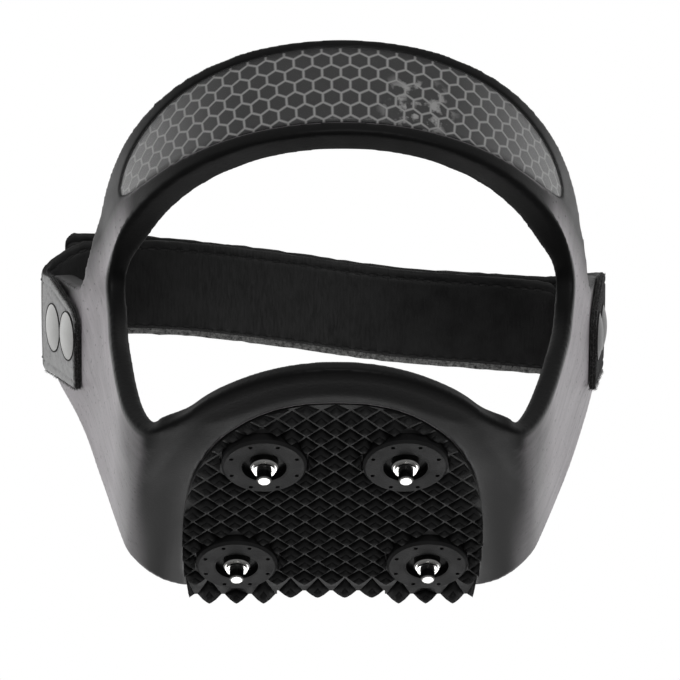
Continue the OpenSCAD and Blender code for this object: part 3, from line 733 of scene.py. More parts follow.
def strip_rows(low, high, grow):
    sections, flats = [], []
    mid = (STRIP_TOP + STRIP_H / 2) / BAND_H
    for j in range(-STRIP_REACH, STRIP_REACH):
        t = abs(j + 0.5) / (STRIP_REACH - 0.5)
        taper = (1 - END_TAPER * t * t) * math.sqrt(max(END_LEAST, 1 - t ** END_POWER))
        half = STRIP_H / BAND_H / 2 * taper + grow / BAND_H
        vs = np.linspace(mid - half, mid + half, STRIP_STEPS)
        first = (LOOP_MID + j - 1) % STATIONS
        here = ring[first: first + 3]
        points = across(here, vs)
        n = np.cross(points[2] - points[0], step_across(here, vs)[1])
        n /= np.linalg.norm(n, axis=1, keepdims=True)
        sections.append(np.concatenate([points[1] + high * n, (points[1] + low * n)[::-1]]))
        flats.append((vs - 0.5) * BAND_H)
    return np.array(sections), flats


inlay_sections = strip_rows(INLAY_FLOOR, INLAY_TOP, INLAY_GROW)[0]
inlay = make_piece("inlay", *loft(inlay_sections, closed_ring=False))
outward_faces(inlay)
cutters.append(inlay)
inlay_x = inlay_sections[..., 0]
print("inlay reaches x in mm:", inlay_x.min().round(2), inlay_x.max().round(2))

# %% Cut and melt
VOXEL, SOFTEN, SOFTEN_ROUNDS = 0.48, 0.5, 4

cut_away(harness, cutters)
melt = harness.modifiers.new("melt", "REMESH")
melt.mode, melt.voxel_size = "VOXEL", VOXEL * MM
soften = harness.modifiers.new("soften", "SMOOTH")
soften.factor, soften.iterations = SOFTEN, SOFTEN_ROUNDS
bake(harness)
shade_smooth(harness)
print("harness:", count(harness), "triangles")

# %% Dust and painted sheen kept on the rubber
BARE_RIM, BARE_RIM_FADE = 2.2, 0.6
SOLE_LEFT, SOLE_LOW, SOLE_FADE = 0.3, -2, 15
LOOP_BARE, LOOP_LOW, LOOP_FADE = 0.97, 46, 9

rim_line = skin[:, -1] - 0.5 * thick[:, -1] * normal[:, -1]
nearest = KDTree(len(rim_line))
for k, p in enumerate(rim_line):
    nearest.insert(p * MM, k)
nearest.balance()
# How much dust and painted sheen each point keeps; the window's edge and the loop stay dark.
dust_and_sheen = harness.data.attributes.new("dust_and_sheen", "FLOAT", "POINT")
for vertex, spot in zip(harness.data.vertices, dust_and_sheen.data):
    away, z = nearest.find(vertex.co)[2] / MM, vertex.co.z / MM
    left = clamp((z - SOLE_LOW) / SOLE_FADE, SOLE_LEFT)
    left *= 1 - LOOP_BARE * clamp((z - LOOP_LOW) / LOOP_FADE)
    spot.value = clamp((away - BARE_RIM) / BARE_RIM_FADE) * left
print("rim and loop wiped clean of bloom")
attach(harness, "harness")
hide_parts("heel_harness")

# %% [markdown]
# ## The tread
# The pad under the heel is covered in small four-sided pyramids with narrow flat grooves between
# them. They repeat, so a Geometry Nodes tree makes them: a grid of points, a blunt pyramid on
# each, turned into plain geometry. Pyramids that the pad's edge or a stud disc would cut are
# trimmed afterwards by sliding their corners onto that edge, and those of the front row lean out
# over the edge of the sole as teeth.

# %% Pyramid tree
SHAPE_IN = ("Geometry", "Geometry", None)
FINISH_IN = ("Finish", "Material", None)
SHAPE_OUT = [("Geometry", "Geometry")]


def run_tree(piece, tree, values):
    grown = piece.modifiers.new(tree.name, "NODES")
    grown.node_group = tree
    for item in tree.interface.items_tree:
        if item.in_out == "INPUT" and item.name in values:
            grown[item.identifier] = values[item.name]
    return bake(piece)


def end_tree(tree, given, out, **placing):
    placed = node(tree, "GeometryNodeInstanceOnPoints", placing).outputs[0]
    real = node(tree, "GeometryNodeRealizeInstances", {0: placed}).outputs[0]
    dress = {"Geometry": real, "Material": given["Finish"]}
    feed(out["Geometry"], node(tree, "GeometryNodeSetMaterial", dress).outputs[0])
    return tree


def build_pyramids():
    tree, given, out = start_tree("GeometryNodeTree", "tread_pyramids", [
        SHAPE_IN, ("Foot radius", "Float", 0.0024), ("Shoulder radius", "Float", 0.0013),
        ("Tip radius", "Float", 0.0004), ("Foot height", "Float", 0.00105),
        ("Tip height", "Float", 0.0006), FINISH_IN,
    ], SHAPE_OUT)
    foot, tip = (node(tree, "GeometryNodeMeshCone", {
        "Vertices": 4, "Radius Bottom": given[low], "Radius Top": given[high], "Depth": given[tall],
    }).outputs["Mesh"] for low, high, tall in (
        ("Foot radius", "Shoulder radius", "Foot height"),
        ("Shoulder radius", "Tip radius", "Tip height"),
    ))
    lift = node(tree, "ShaderNodeCombineXYZ", {"Z": given["Foot height"]}).outputs[0]
    raised = node(tree, "GeometryNodeTransform", {"Geometry": tip, "Translation": lift}).outputs[0]
    pair = node(tree, "GeometryNodeJoinGeometry", {})
    for part in (foot, raised):
        feed(pair.inputs[0], part)
    turned = node(tree, "GeometryNodeTransform", {
        "Geometry": pair.outputs[0], "Rotation": (math.pi, 0, 0),
    }).outputs[0]
    return end_tree(tree, given, out, Points=given["Geometry"], Instance=turned)


pyramid_tree = build_pyramids()
print("pyramid tree nodes:", len(pyramid_tree.nodes))

# %% Pyramids
PITCH, PAD_MID, GRID, GRID_FRONT = 5.4, -4.45, 14, 11
PAD_T, PAD_OVER, DISC_ROOM, ROW_SLACK = 1.15, 1.2, 7.2, 0.1
FLOOR_Z = RECESS_Z - PAD_T
FRONT_ROW = PAD_MID + GRID_FRONT * PITCH / 2


def inside(p, outline):
    x, y = p[0], p[1]
    k = np.arange(len(outline))
    a, b = outline[k], outline[(k + 1) % len(outline)]
    crosses = (a[:, 1] > y) != (b[:, 1] > y)
    spans = a[:, 0] + (y - a[:, 1]) * (b[:, 0] - a[:, 0]) / (b[:, 1] - a[:, 1] + 1e-12)
    return bool(np.sum(crosses & (x < spans)) % 2)


def clear_of_studs(p):
    return min(math.hypot(p[0] - x, p[1] - y) for x, y in STUDS) > DISC_ROOM


grid = range(-GRID, GRID + 1)
spots = [
    (i * PITCH / 2, PAD_MID + j * PITCH / 2, FLOOR_Z)
    for i in grid for j in grid if (i + j) % 2 == 0
]
edge = pad_outline(PAD_OVER)
spots = [p for p in spots if inside(p, edge) and p[1] < FRONT_ROW + 1 and clear_of_studs(p)]
pyramids = make_piece("tread_pyramids", spots, [])
run_tree(pyramids, pyramid_tree, {"Finish": finish["tread_rubber"]})
shade_smooth(pyramids)
print("pyramids:", len(spots), "with", count(pyramids), "triangles")

# %% Trim the pyramids to the pad
FRONT_OUT, FRONT_MID, FOOT_R = 3.2, 2.0, 2.4
STEP_X, END_X, STUD_R, EDGE_GAP = 11, 27, 8.35, 0.05
TIP_END, TIP_OUTER, TIP_MID = 0.25, 0.8, 0.4
OUTER_TALL, END_TALL, REAR_TALL, REAR_FADE = 1.3, 0.6, 0.25, 0.12


def trim_front(px, py, y, z):
    outer, end = abs(px) > STEP_X, abs(px) > END_X
    out = FRONT_OUT if outer else FRONT_MID
    y += out * clamp((y - py + FOOT_R) / FOOT_R)
    tall = (OUTER_TALL if outer else 1.0) * (END_TALL if end else 1.0)
    tip = py + out
    if y > tip:
        y = tip + (TIP_END if end else TIP_OUTER if outer else TIP_MID) * (y - tip)
    return y, FLOOR_Z + tall * (z - FLOOR_Z)


def trim(piece):
    per = len(piece.data.vertices) // len(spots)
    for vertex in piece.data.vertices:
        px, py, _ = spots[vertex.index // per]
        x, y, z = (c / MM for c in vertex.co)
        for sx, sy in STUDS:
            gap = math.hypot(x - sx, y - sy)
            if gap < STUD_R:
                x, y = sx + (x - sx) * STUD_R / gap, sy + (y - sy) * STUD_R / gap
        if py > FRONT_ROW - ROW_SLACK:
            y, z = trim_front(px, py, y, z)
        wide = abs(x / (PAD_HW - EDGE_GAP)) ** PAD_SQUARE
        deep = abs((y - PAD_WIDE_Y) / (PAD_REAR - EDGE_GAP)) ** PAD_SQUARE
        r = (wide + deep) ** (1 / PAD_SQUARE)
        if r > 1:
            x, y = x / r, PAD_WIDE_Y + (y - PAD_WIDE_Y) / r
        if y < 0:
            z = FLOOR_Z + (z - FLOOR_Z) * min(1.0, REAR_TALL + max(0.0, 1 - r) / REAR_FADE)
        vertex.co = (x * MM, y * MM, z * MM)


trim(pyramids)
print("pyramids trimmed round", len(STUDS), "discs and along the pad's edge")

# %% Pad
HOLE_R, HOLE_STEPS, HOLE_PAST, SLAB_STEP, SLAB_IN = 8.3, 48, 2, 10.8, 0.1

front_share = ((FRONT_ROW - PAD_WIDE_Y) / PAD_REAR) ** PAD_SQUARE
half_front = PAD_HW * (1 - front_share) ** (1 / PAD_SQUARE) - SLAB_IN
pad_edge = [(-half_front, FRONT_ROW + FRONT_OUT)]
pad_edge += [tuple(p) for p in pad_outline(-EDGE_GAP) if p[1] < FRONT_ROW + ROW_SLACK]
for x, out in (
    (half_front, FRONT_OUT), (SLAB_STEP, FRONT_OUT), (SLAB_STEP, FRONT_MID),
    (-SLAB_STEP, FRONT_MID), (-SLAB_STEP, FRONT_OUT),
):
    pad_edge.append((x, FRONT_ROW + out))
pad = prism("tread_pad_look", pad_edge, FLOOR_Z, RECESS_Z - EDGE_GAP)
holes = [circle(x, y, HOLE_R, HOLE_STEPS) for x, y in STUDS]
cut_away(pad, [prism("hole", h, FLOOR_Z - HOLE_PAST, RECESS_Z + HOLE_PAST) for h in holes])
pad.data.materials.clear()
pad.data.materials.append(finish["groove_rubber"])
shade_smooth(pad, False)
for piece in (pad, pyramids):
    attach(piece, "harness")
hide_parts("tread_pad")
print("pad:", count(pad), "triangles")

# %% [markdown]
# ## Discs, studs and rivets
# These are turned and moulded parts whose CAD shapes are already right, so the CAD nodes stay
# and only get their finishes: black matt plastic for the discs, bright turned steel with harder,
# duller pins for the studs, and nickel for the rivets. The caps on the right ear get a darker
# copy of the nickel, as painted shade.
# The sunk ring of each disc lies in its own shadow, so the plastic is darkened there. Left and
# right studs mirror each other, so folding x leaves two centres, and the sign of y picks one.

# %% Dark sunk rings
SUNK_IN, SUNK_OUT, SUNK_TONE = 4.5, 4.9, (0.003, 0.003, 0.003)


def shade_round_studs(material):
    tree = material.node_tree
    where = object_place(tree)
    flat = vector_math(tree, "MULTIPLY", vector_math(tree, "ABSOLUTE", where), (PER_M, PER_M, 0))
    rear, front = (
        vector_math(tree, "DISTANCE", flat, (abs(x), abs(y), 0)) for x, y in (STUDS[0], STUDS[2])
    )
    is_front = math_node(tree, "GREATER_THAN", split_xyz(tree, where)["Y"], 0.0)
    gap = mix_node(tree, "FLOAT", is_front, rear, front)
    recolour(material, map_range(tree, gap, SUNK_OUT, SUNK_IN), SUNK_TONE)


shade_round_studs(finish["disc_plastic"])
print("sunk rings darkened on", finish["disc_plastic"].name)

# %% Finishes on the CAD nodes
for start, look in (
    ("stud_disc", "disc_plastic"), ("stud_body", "turned_steel"), ("stud_pin", "hard_pin"),
    ("rivet", "rivet_nickel"),
):
    for name in nodes:
        if name.startswith(start):
            # Caps on the right ear take the darker copy of the nickel: painted shade.
            shaded = start == "rivet" and "right" in name
            nodes[name].data.materials.clear()
            nodes[name].data.materials.append(finish["dull_nickel" if shaded else look])
print("dressed CAD nodes:", sum(n.startswith(("stud", "rivet")) for n in nodes))

# %% [markdown]
# ## The reflective strip
# Reflective tape is a grey sheet of tiny prisms, sealed to a clear film along a honeycomb of
# light lines. The strip gets a UV map measured in millimetres along and across it, and a node
# group works out how far each point is from the nearest honeycomb line, so that the cells keep
# their shape round the bend. A scuffed spot and the glare towards both ends are mixed in. A
# second, clear piece is the cover film.

# %% Honeycomb group
def build_honeycomb():
    tree, given, out = start_tree(
        "ShaderNodeTree", "honeycomb_lines",
        [("Place", "Vector", None), ("Pitch", "Float", 3.6), ("Line", "Float", 0.1)],
        [("Line mask", "Float")],
    )
    tall = math.sqrt(3)
    pitch = node(tree, "ShaderNodeCombineXYZ", {axis: given["Pitch"] for axis in "XYZ"}).outputs[0]
    scaled = vector_math(tree, "DIVIDE", given["Place"], pitch)
    flat = vector_math(tree, "MULTIPLY", scaled, (1, 1, 0))
    centred = []
    for shift in (100.0, 100.5):
        moved = vector_math(tree, "ADD", flat, (shift, shift * tall, 0))
        cell = vector_math(tree, "MODULO", moved, (1.0, tall, 1.0))
        centred.append(vector_math(tree, "SUBTRACT", cell, (0.5, tall / 2, 0.0)))
    closer = math_node(tree, "LESS_THAN", *(vector_math(tree, "LENGTH", c) for c in centred))
    folded = vector_math(tree, "ABSOLUTE", mix_node(tree, "VECTOR", closer, centred[1], centred[0]))
    slanted, upright = (
        vector_math(tree, "DOT_PRODUCT", folded, way) for way in ((0.5, tall / 2, 0), (1, 0, 0))
    )
    reach = math_node(tree, "MAXIMUM", slanted, upright)
    start = math_node(tree, "SUBTRACT", 0.5, given["Line"])
    feed(out["Line mask"], map_range(tree, reach, start, 0.5))
    return tree


honeycomb = build_honeycomb()
print("honeycomb group nodes:", len(honeycomb.nodes))

# %% Sheet and film materials
TAPE_PITCH, TAPE_LINE = 3.6, 0.12
SCUFF_SPOT, SCUFF_REACH, SCUFF_CORE, SCUFF_SCALE = (15.5, 3.5, 0), 9.0, 5.0, 0.28
GLARE_START, GLARE_END, GLARE = 18.0, 54.0, 0.5
LINE_DEPTH, FILM_ALPHA = 0.00015, 0.035


def strip_material():
    material = new_material("honeycomb_tape")
    tree, shader = opened(material)
    feed(shader["Coat Weight"], 0.05)
    feed(shader["Coat Roughness"], 0.12)
    place = node(tree, "ShaderNodeUVMap", {}, uv_map="strip").outputs["UV"]
    cells = node(tree, "ShaderNodeGroup", {
        "Place": place, "Pitch": TAPE_PITCH, "Line": TAPE_LINE,
    }, node_tree=honeycomb)
    tone = tone_node(tree, (0.012, 0.012, 0.0123), (0.024, 0.024, 0.0245), 6.0, 0.34, 0.5)
    flecks = noise_node(tree, place, SCUFF_SCALE, Detail=5.0)
    worn = map_range(tree, flecks, 0.52, 0.6, soft=False)
    away = vector_math(tree, "DISTANCE", place, SCUFF_SPOT)
    near = map_range(tree, away, SCUFF_REACH, SCUFF_CORE, soft=False)
    scuffed = math_node(tree, "MULTIPLY", worn, near)
    lines = math_node(tree, "MAXIMUM", cells.outputs["Line mask"], scuffed)
    feed(shader["Base Color"], tone["Color"])
    recolour(material, lines, (0.55, 0.545, 0.54))
    span = math_node(tree, "ABSOLUTE", split_xyz(tree, place)["X"])
    # Painted glare: the strip is lightened towards both ends.
    recolour(material, map_range(tree, span, GLARE_START, GLARE_END, (0.0, GLARE)), (0.6, 0.6, 0.6))
    feed(shader["Roughness"], tone["Roughness"])
    feed(shader["Normal"], bump_node(tree, lines, 0.5, LINE_DEPTH))
    return material


def film_material():
    material = new_material("cover_film")
    tree, shader = opened(material)
    clear = (0.9, 0.9, 0.9)
    feed(shader["Base Color"], (*clear, 1))
    feed(shader["Roughness"], tone_node(tree, clear, clear, 8.0, 0.08, 0.22)["Roughness"])
    feed(shader["Alpha"], FILM_ALPHA)
    return material


honeycomb_tape, cover_film = strip_material(), film_material()
print("strip finishes:", honeycomb_tape.name, cover_film.name)

# %% Sheet and film pieces
SHEET_LEVELS, FILM_LEVELS = (0.05, 0.45), (0.5, 0.8)


def strip_piece(name, low, high, material):
    sections, flats = strip_rows(low, high, 0)
    piece = make_piece(name, *loft(sections, closed_ring=False), material)
    mids = sections[:, sections.shape[1] // 4]
    run = np.concatenate([[0], np.cumsum(np.linalg.norm(np.diff(mids, axis=0), axis=1))])
    run -= run[len(run) // 2]
    lay_uv(piece, "strip", [(u, v) for u, f in zip(-run, flats) for v in (*f, *f[::-1])])
    outward_faces(piece)
    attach(piece, "harness")
    return piece


tape = strip_piece("honeycomb_strip", *SHEET_LEVELS, honeycomb_tape)
film = strip_piece("strip_film", *FILM_LEVELS, cover_film)
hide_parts("reflective_sheet")
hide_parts("clear_film")
print("strip:", count(tape), "triangles")

# %% [markdown]
# ## Leather
# The straps are black leather with a fine grain and, where they bend in use, a field of cross
# wrinkles, lightened most on their crests as a painted sheen. Their UV map runs in millimetres
# along and across the strap, so the wrinkles can be stretched across it. The tabs show the rough
# grey flesh side, and the lower cut edge is pale.

# %% Wrinkled leather
WRINKLE_MID, WRINKLE_END, WRINKLE_FULL = 80.0, 38.0, 8.0
WRINKLE_STRETCH, WRINKLE_SHEEN, WRINKLE_DEPTH = (1.9, 0.3, 1), (0.06, 0.06, 0.06), 0.0003


def wrinkle(material):
    tree, shader = opened(material)
    place = node(tree, "ShaderNodeUVMap", {}, uv_map="strap").outputs["UV"]
    drawn = node(tree, "ShaderNodeMapping", {"Vector": place, "Scale": WRINKLE_STRETCH}).outputs[0]
    folds = noise_node(tree, drawn, 1.0, Detail=4.0, Distortion=0.6)
    off = math_node(tree, "SUBTRACT", split_xyz(tree, place)["X"], WRINKLE_MID)
    zone = map_range(tree, math_node(tree, "ABSOLUTE", off), WRINKLE_END, WRINKLE_FULL)
    crest = map_range(tree, folds, 0.3, 0.7, (0.3, 1.0))
    # Painted sheen: the wrinkled zone is lightened, most on the crests.
    recolour(material, math_node(tree, "MULTIPLY", crest, zone), WRINKLE_SHEEN)
    grain = shader["Normal"].links[0].from_socket
    feed(shader["Normal"], bump_node(tree, folds, 0.5, WRINKLE_DEPTH, Normal=grain))


wrinkle(finish["strap_leather"])
# Dust and a painted sheen on the leather where it is seen at a slant.
add_dust_and_painted_sheen(finish["strap_leather"], (0.2, 0.2, 0.2), 0.6, 0.95, (900, 900, 300))
print("leather nodes:", len(finish["strap_leather"].node_tree.nodes))

# %% [markdown]
# ## The straps
# Each strap starts as a tab riveted to its ear, turns at a living hinge, bends round and runs
# across the instep: the inner one from the left, the outer one from the right, overlapping along
# the whole front. A strap is a ribbon swept along that route, with a shallow groove where the
# stitches pull it in and slightly ragged cut edges.

# %% Strap route
ROOT_THIN, SOFT_GAP, FIT_GAP = 0.6, 0.3, 0.05
STRAP_REACH, STRAP_FALL, STRAP_RISE, PATCH_T = 10.8, 0.11, 2.0, 0.7
STRAP_SAG, SAG_MID, SAG_WIDTH, FALL_EASE = 0.9, 14, 20, 0.25
TAB_STEPS, BEND_STEPS, LEVEL_STEPS, TAIL_STEPS, TAIL_FROM = 16, 21, 57, 6, 0.2
# How fast the strap settles from the ear's height to its own: share of a step, and steps in all.
BEND_SHARE, LEVEL_SHARE, SETTLE = 0.5, 0.25, 14
INNER_END, OUTER_END, END_ROUND = 50.0, 57.0, 2.4
STRAP_MID = FIT_GAP + STRAP_T / 2
HINGE_ALONG = EAR_LEN + 0.5 * ROOT_THIN * STRAP_T + SOFT_GAP
LAYER_GAP = STRAP_T + 2 * PATCH_T + SOFT_GAP


def tab_line(side, along):
    c, s = math.cos(FLARE[side]), math.sin(FLARE[side])
    x = EAR_HW + side * SWAY / 2 + along * s + STRAP_MID * c
    return x, EAR_ROOT + along * c - STRAP_MID * s


def tab_top(along):
    back = along + TAB_BACK
    slope = clamp((TAB_SLANT - back) / (TAB_SLANT - TAB_FALL / 2))
    return HALF_W - TAB_FALL * slope - max(0.0, TAB_FALL / 2 - back)


def strap_level(x):
    sag = STRAP_SAG * math.exp(-((x - SAG_MID) / SAG_WIDTH) ** 2)
    fall = STRAP_FALL * x * (1 - FALL_EASE * (min(0, x) / OUTER_END) ** 4)
    return EAR_MID + STRAP_RISE - sag - fall


def ease(t):
    t = clamp(t)
    return t * t * (3 - 2 * t)


def strap_route(side, level_w, end):
    f = FLARE[side]
    hinge_x, hinge_w = tab_line(side, HINGE_ALONG)
    r = (level_w - hinge_w) / (1 + math.sin(f))
    cx, cw = hinge_x - r * math.cos(f), hinge_w + r * math.sin(f)
    tab = np.linspace(-TAB_BACK, EAR_LEN, TAB_STEPS)
    route = [(side * x, w, EAR_MID, a) for a in tab for x, w in (tab_line(side, a),)]
    bend = [(cx + r * math.cos(a), cw + r * math.sin(a), k * BEND_SHARE)
            for k, a in enumerate(np.linspace(-f, math.pi / 2, BEND_STEPS))]
    rounding = np.linspace(TAIL_FROM, math.pi / 2, TAIL_STEPS)
    tail = [-end + END_ROUND * (1 - math.sin(a)) for a in rounding]
    level = [*np.linspace(cx, -end + END_ROUND, LEVEL_STEPS)[1:], *tail]
    bent = (BEND_STEPS - 1) * BEND_SHARE
    straight = [(x, level_w, bent + (k + 1) * LEVEL_SHARE) for k, x in enumerate(level)]
    for x, w, settled in bend + straight:
        h = EAR_MID + (strap_level(side * x) - EAR_MID) * ease(settled / SETTLE)
        route.append((side * x, w, h, None))
    return route


inner_w = tab_line(-1, HINGE_ALONG)[1] + STRAP_REACH
outer_w = inner_w + LAYER_GAP
inner_route = strap_route(-1, inner_w, INNER_END)
outer_route = strap_route(1, outer_w, OUTER_END)
print("route points:", len(inner_route), len(outer_route))

# %% Strap ribbon
SEAM = 0.82
GROOVE, GROOVE_WIDTH, CROWN, FACE_IN = 0.22, 0.025, 0.12, 0.15
EDGE_FALL, EDGE_FROM, RAGGED, RAGGED_FROM = 0.25, 0.97, 0.07, 0.98
HALF_ACROSS = np.array([0.15, 0.45, 0.7, 0.77, 0.795, SEAM, 0.845, 0.87, 0.93, 0.985, 1])
ACROSS = np.concatenate([-HALF_ACROSS[::-1], HALF_ACROSS])
CUT, FLESH, RAW = 1, 2, 3


def route_frame(route, side):
    line = np.array([p[:2] for p in route])
    ahead = np.gradient(line, axis=0)
    ahead /= np.linalg.norm(ahead, axis=1, keepdims=True)
    return line, np.stack([ahead[:, 1], -ahead[:, 0]], axis=1) * side


def face_finish(spots, on_tab, is_end):
    n, per = len(ACROSS), 2 * len(ACROSS)
    if is_end or spots == [n - 1, n]:
        return CUT
    if spots == [0, per - 1]:
        return CUT if on_tab else RAW
    if spots in ([per - 2, per - 1], [per - 3, per - 2], [per - 4, per - 3]) and not on_tab:
        return RAW
    return FLESH if on_tab and max(spots) < n else 0


def strap_sections(route, side, seed):
    chance = random.Random(seed)
    line, out = route_frame(route, side)
    sections, flats, run = [], [], 0.0
    for k, (x, w, h, along) in enumerate(route):
        if k:
            run += float(np.linalg.norm(line[k] - line[k - 1]))
        top = HALF_W if along is None else tab_top(along)
        to_end, trim_end = abs(route[-1][0] - x), 0.0
        if along is None and to_end < END_ROUND:
            trim_end = END_ROUND - math.sqrt(END_ROUND ** 2 - (END_ROUND - to_end) ** 2)
        section = []
        for sign in (1, -1):
            for a in ACROSS[::sign]:
                groove = GROOVE * math.exp(-((abs(a) - SEAM) / GROOVE_WIDTH) ** 2)
                fall = EDGE_FALL * max(0, abs(a) - EDGE_FROM) / (1 - EDGE_FROM)
                crown = CROWN * (1 - a * a) - fall
                depth = sign * (STRAP_T / 2 - FACE_IN - groove + crown)
                ragged = chance.gauss(0, RAGGED) if abs(a) > RAGGED_FROM else 0.0
                up = (a + 1) / 2 * (top + HALF_W) - HALF_W + ragged - a * trim_end
                section.append(leaning(x + out[k, 0] * depth, w + out[k, 1] * depth, h + up))
                flats.append((run, a * HALF_W))
        sections.append(section)
    return np.array(sections), flats


def strap_piece(name, route, side, seed):
    sections, flats = strap_sections(route, side, seed)
    piece = make_piece(name, *loft(sections, closed_ring=False), finish["strap_leather"])
    for look in ("cut_edge", "suede" if side < 0 else "dark_suede", "raw_edge"):
        piece.data.materials.append(finish[look])
    lay_uv(piece, "strap", flats)
    per = sections.shape[1]
    tab_rows = sum(p[3] is not None for p in route)
    for face in piece.data.polygons:
        spots = sorted({v % per for v in face.vertices})
        on_tab = max(face.vertices) // per < tab_rows + 1
        face.material_index = face_finish(spots, on_tab, len(face.vertices) > 4)
    outward_faces(piece)
    return piece


# %% Straps
HINGE_HALF = 0.9

inner_strap = strap_piece("inner_strap_leather", inner_route, -1, seed=3)
outer_strap = strap_piece("outer_strap_leather", outer_route, 1, seed=5)
for strap, side, body, tab, solid in (
    (inner_strap, -1, "inner", "left_strap_tab", "inner_strap"),
    (outer_strap, 1, "outer", "right_strap_tab", "outer_strap"),
):
    hinge_x, hinge_w = tab_line(side, HINGE_ALONG)
    start, end = (
        leaning(side * hinge_x, hinge_w + ahead, EAR_MID) * MM
        for ahead in (-HINGE_HALF, HINGE_HALF)
    )
    tuple(start)
    tuple(end)
    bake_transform(strap)
    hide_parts(tab, solid)
print("straps:", count(inner_strap), count(outer_strap), "triangles")

# %% [markdown]
# ## Stitches
# A row of short stitches runs along both edges of each strap, on both faces. A Geometry Nodes
# tree follows a line, spaces points along it and lays a small rounded stitch on each.

# %% Stitch tree
def spaced_along(tree, given, spacing):
    curve = node(tree, "GeometryNodeMeshToCurve", {"Mesh": given["Geometry"]}).outputs[0]
    inputs = {"Curve": curve, "Length": given[spacing]}
    return node(tree, "GeometryNodeCurveToPoints", inputs, mode="LENGTH").outputs


def build_stitches():
    tree, given, out = start_tree("GeometryNodeTree", "strap_stitches", [
        SHAPE_IN, ("Pitch", "Float", 0.003), ("Length", "Float", 0.0011),
        ("Thickness", "Float", 0.00026), FINISH_IN,
    ], SHAPE_OUT)
    spaced = spaced_along(tree, given, "Pitch")
    bead = node(tree, "GeometryNodeMeshIcoSphere", {"Radius": 1.0, "Subdivisions": 2})
    size = node(tree, "ShaderNodeCombineXYZ", {
        "X": given["Thickness"], "Y": given["Thickness"], "Z": given["Length"],
    }).outputs[0]
    return end_tree(
        tree, given, out, Points=spaced["Points"], Instance=bead.outputs["Mesh"],
        Rotation=spaced["Rotation"], Scale=size,
    )


def joined(lines):
    points, edges = [], []
    for line in lines:
        first = len(points)
        points += line
        edges += [(i, i + 1) for i in range(first, len(points) - 1)]
    return points, edges


stitch_tree = build_stitches()
print("stitch tree nodes:", len(stitch_tree.nodes))

# %% Stitches
STITCH_FROM, STITCH_TO, STITCH_SINK = 20, -7, 0.22


def stitch_lines(route, side):
    _, out = route_frame(route, side)
    for face in (1, -1):
        depth = face * (STRAP_T / 2 - STITCH_SINK)
        for level in (-SEAM, SEAM):
            yield [
                leaning(x + ox * depth, w + ow * depth, h + level * HALF_W)
                for (x, w, h, _), (ox, ow) in list(zip(route, out))[STITCH_FROM:STITCH_TO]
            ]


for name, route, side, body in (
    ("inner_strap_stitches", inner_route, -1, "inner"),
    ("outer_strap_stitches", outer_route, 1, "outer"),
):
    points, edges = joined(stitch_lines(route, side))
    stitches = make_piece(name, points, [], edges=edges)
    run_tree(stitches, stitch_tree, {"Finish": finish["thread"]})
    shade_smooth(stitches)
    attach(stitches, body)
    print(name, count(stitches), "triangles")

# %% [markdown]
# ## Loose fibres and rivet shadows
# Cut suede sheds fibres along its edges. A Geometry Nodes tree plants short tapered hairs along
# the three cut edges of each tab: every point of the edge carries its outward direction as an
# attribute, and a seeded random vector bends each hair away from it. Round each rivet cap lies a
# thin dark ring, a painted shadow under the cap's rim.

# %% Fuzz tree
STRAY, HAIR_TIP, HAIR_SHORT = 1.1, 0.00001, 0.35


def build_fuzz():
    tree, given, out = start_tree("GeometryNodeTree", "edge_fuzz", [
        SHAPE_IN, ("Spacing", "Float", 0.00009), ("Hair length", "Float", 0.0007),
        ("Hair radius", "Float", 0.00005), ("Seed", "Int", 4), FINISH_IN,
    ], SHAPE_OUT)
    spaced = spaced_along(tree, given, "Spacing")
    hair = node(tree, "GeometryNodeMeshCone", {
        "Vertices": 4, "Radius Top": HAIR_TIP, "Radius Bottom": given["Hair radius"],
        "Depth": given["Hair length"],
    }).outputs["Mesh"]
    lean = node(
        tree, "GeometryNodeInputNamedAttribute", {"Name": "outward"}, data_type="FLOAT_VECTOR"
    )
    stray = node(tree, "FunctionNodeRandomValue", {
        0: (-STRAY,) * 3, 1: (STRAY,) * 3, "Seed": given["Seed"],
    }, data_type="FLOAT_VECTOR").outputs[0]
    bent = vector_math(tree, "ADD", lean.outputs["Attribute"], stray)
    aim = node(tree, "FunctionNodeAlignRotationToVector", {"Vector": bent}, axis="Z")
    size = node(tree, "FunctionNodeRandomValue", {
        2: HAIR_SHORT, 3: 1.0, "Seed": given["Seed"],
    }, data_type="FLOAT").outputs[1]
    return end_tree(
        tree, given, out, Points=spaced["Points"], Instance=hair, Rotation=aim.outputs["Rotation"],
        Scale=size,
    )


fuzz_tree = build_fuzz()
print("fuzz tree nodes:", len(fuzz_tree.nodes))

# %% Tab fibres
EDGE_POINTS, FIBRE_DEPTHS, FIBRE_SEED = 40, (0.35, 0.9, 1.45), 4


def tab_edges(side):
    place = ear_space(side)
    origin = place(np.zeros(3))
    along = np.linspace(-TAB_BACK, EAR_LEN, EDGE_POINTS)
    tops, lows = [(a, tab_top(a)) for a in along], [(a, -HALF_W) for a in along]
    rear = [(-TAB_BACK, h) for h in np.linspace(-HALF_W, tops[0][1], EDGE_POINTS)]
    lines, outward = [], []
    for run, way in ((tops, (-0.3, 1, 0.2)), (lows, (0, -1, 0.2)), (rear, (-1, 0, 0.2))):
        for depth in FIBRE_DEPTHS:
            lines.append([place((a, h, depth)) for a, h in run])
            outward += [place(way) - origin] * len(run)
    return lines, outward


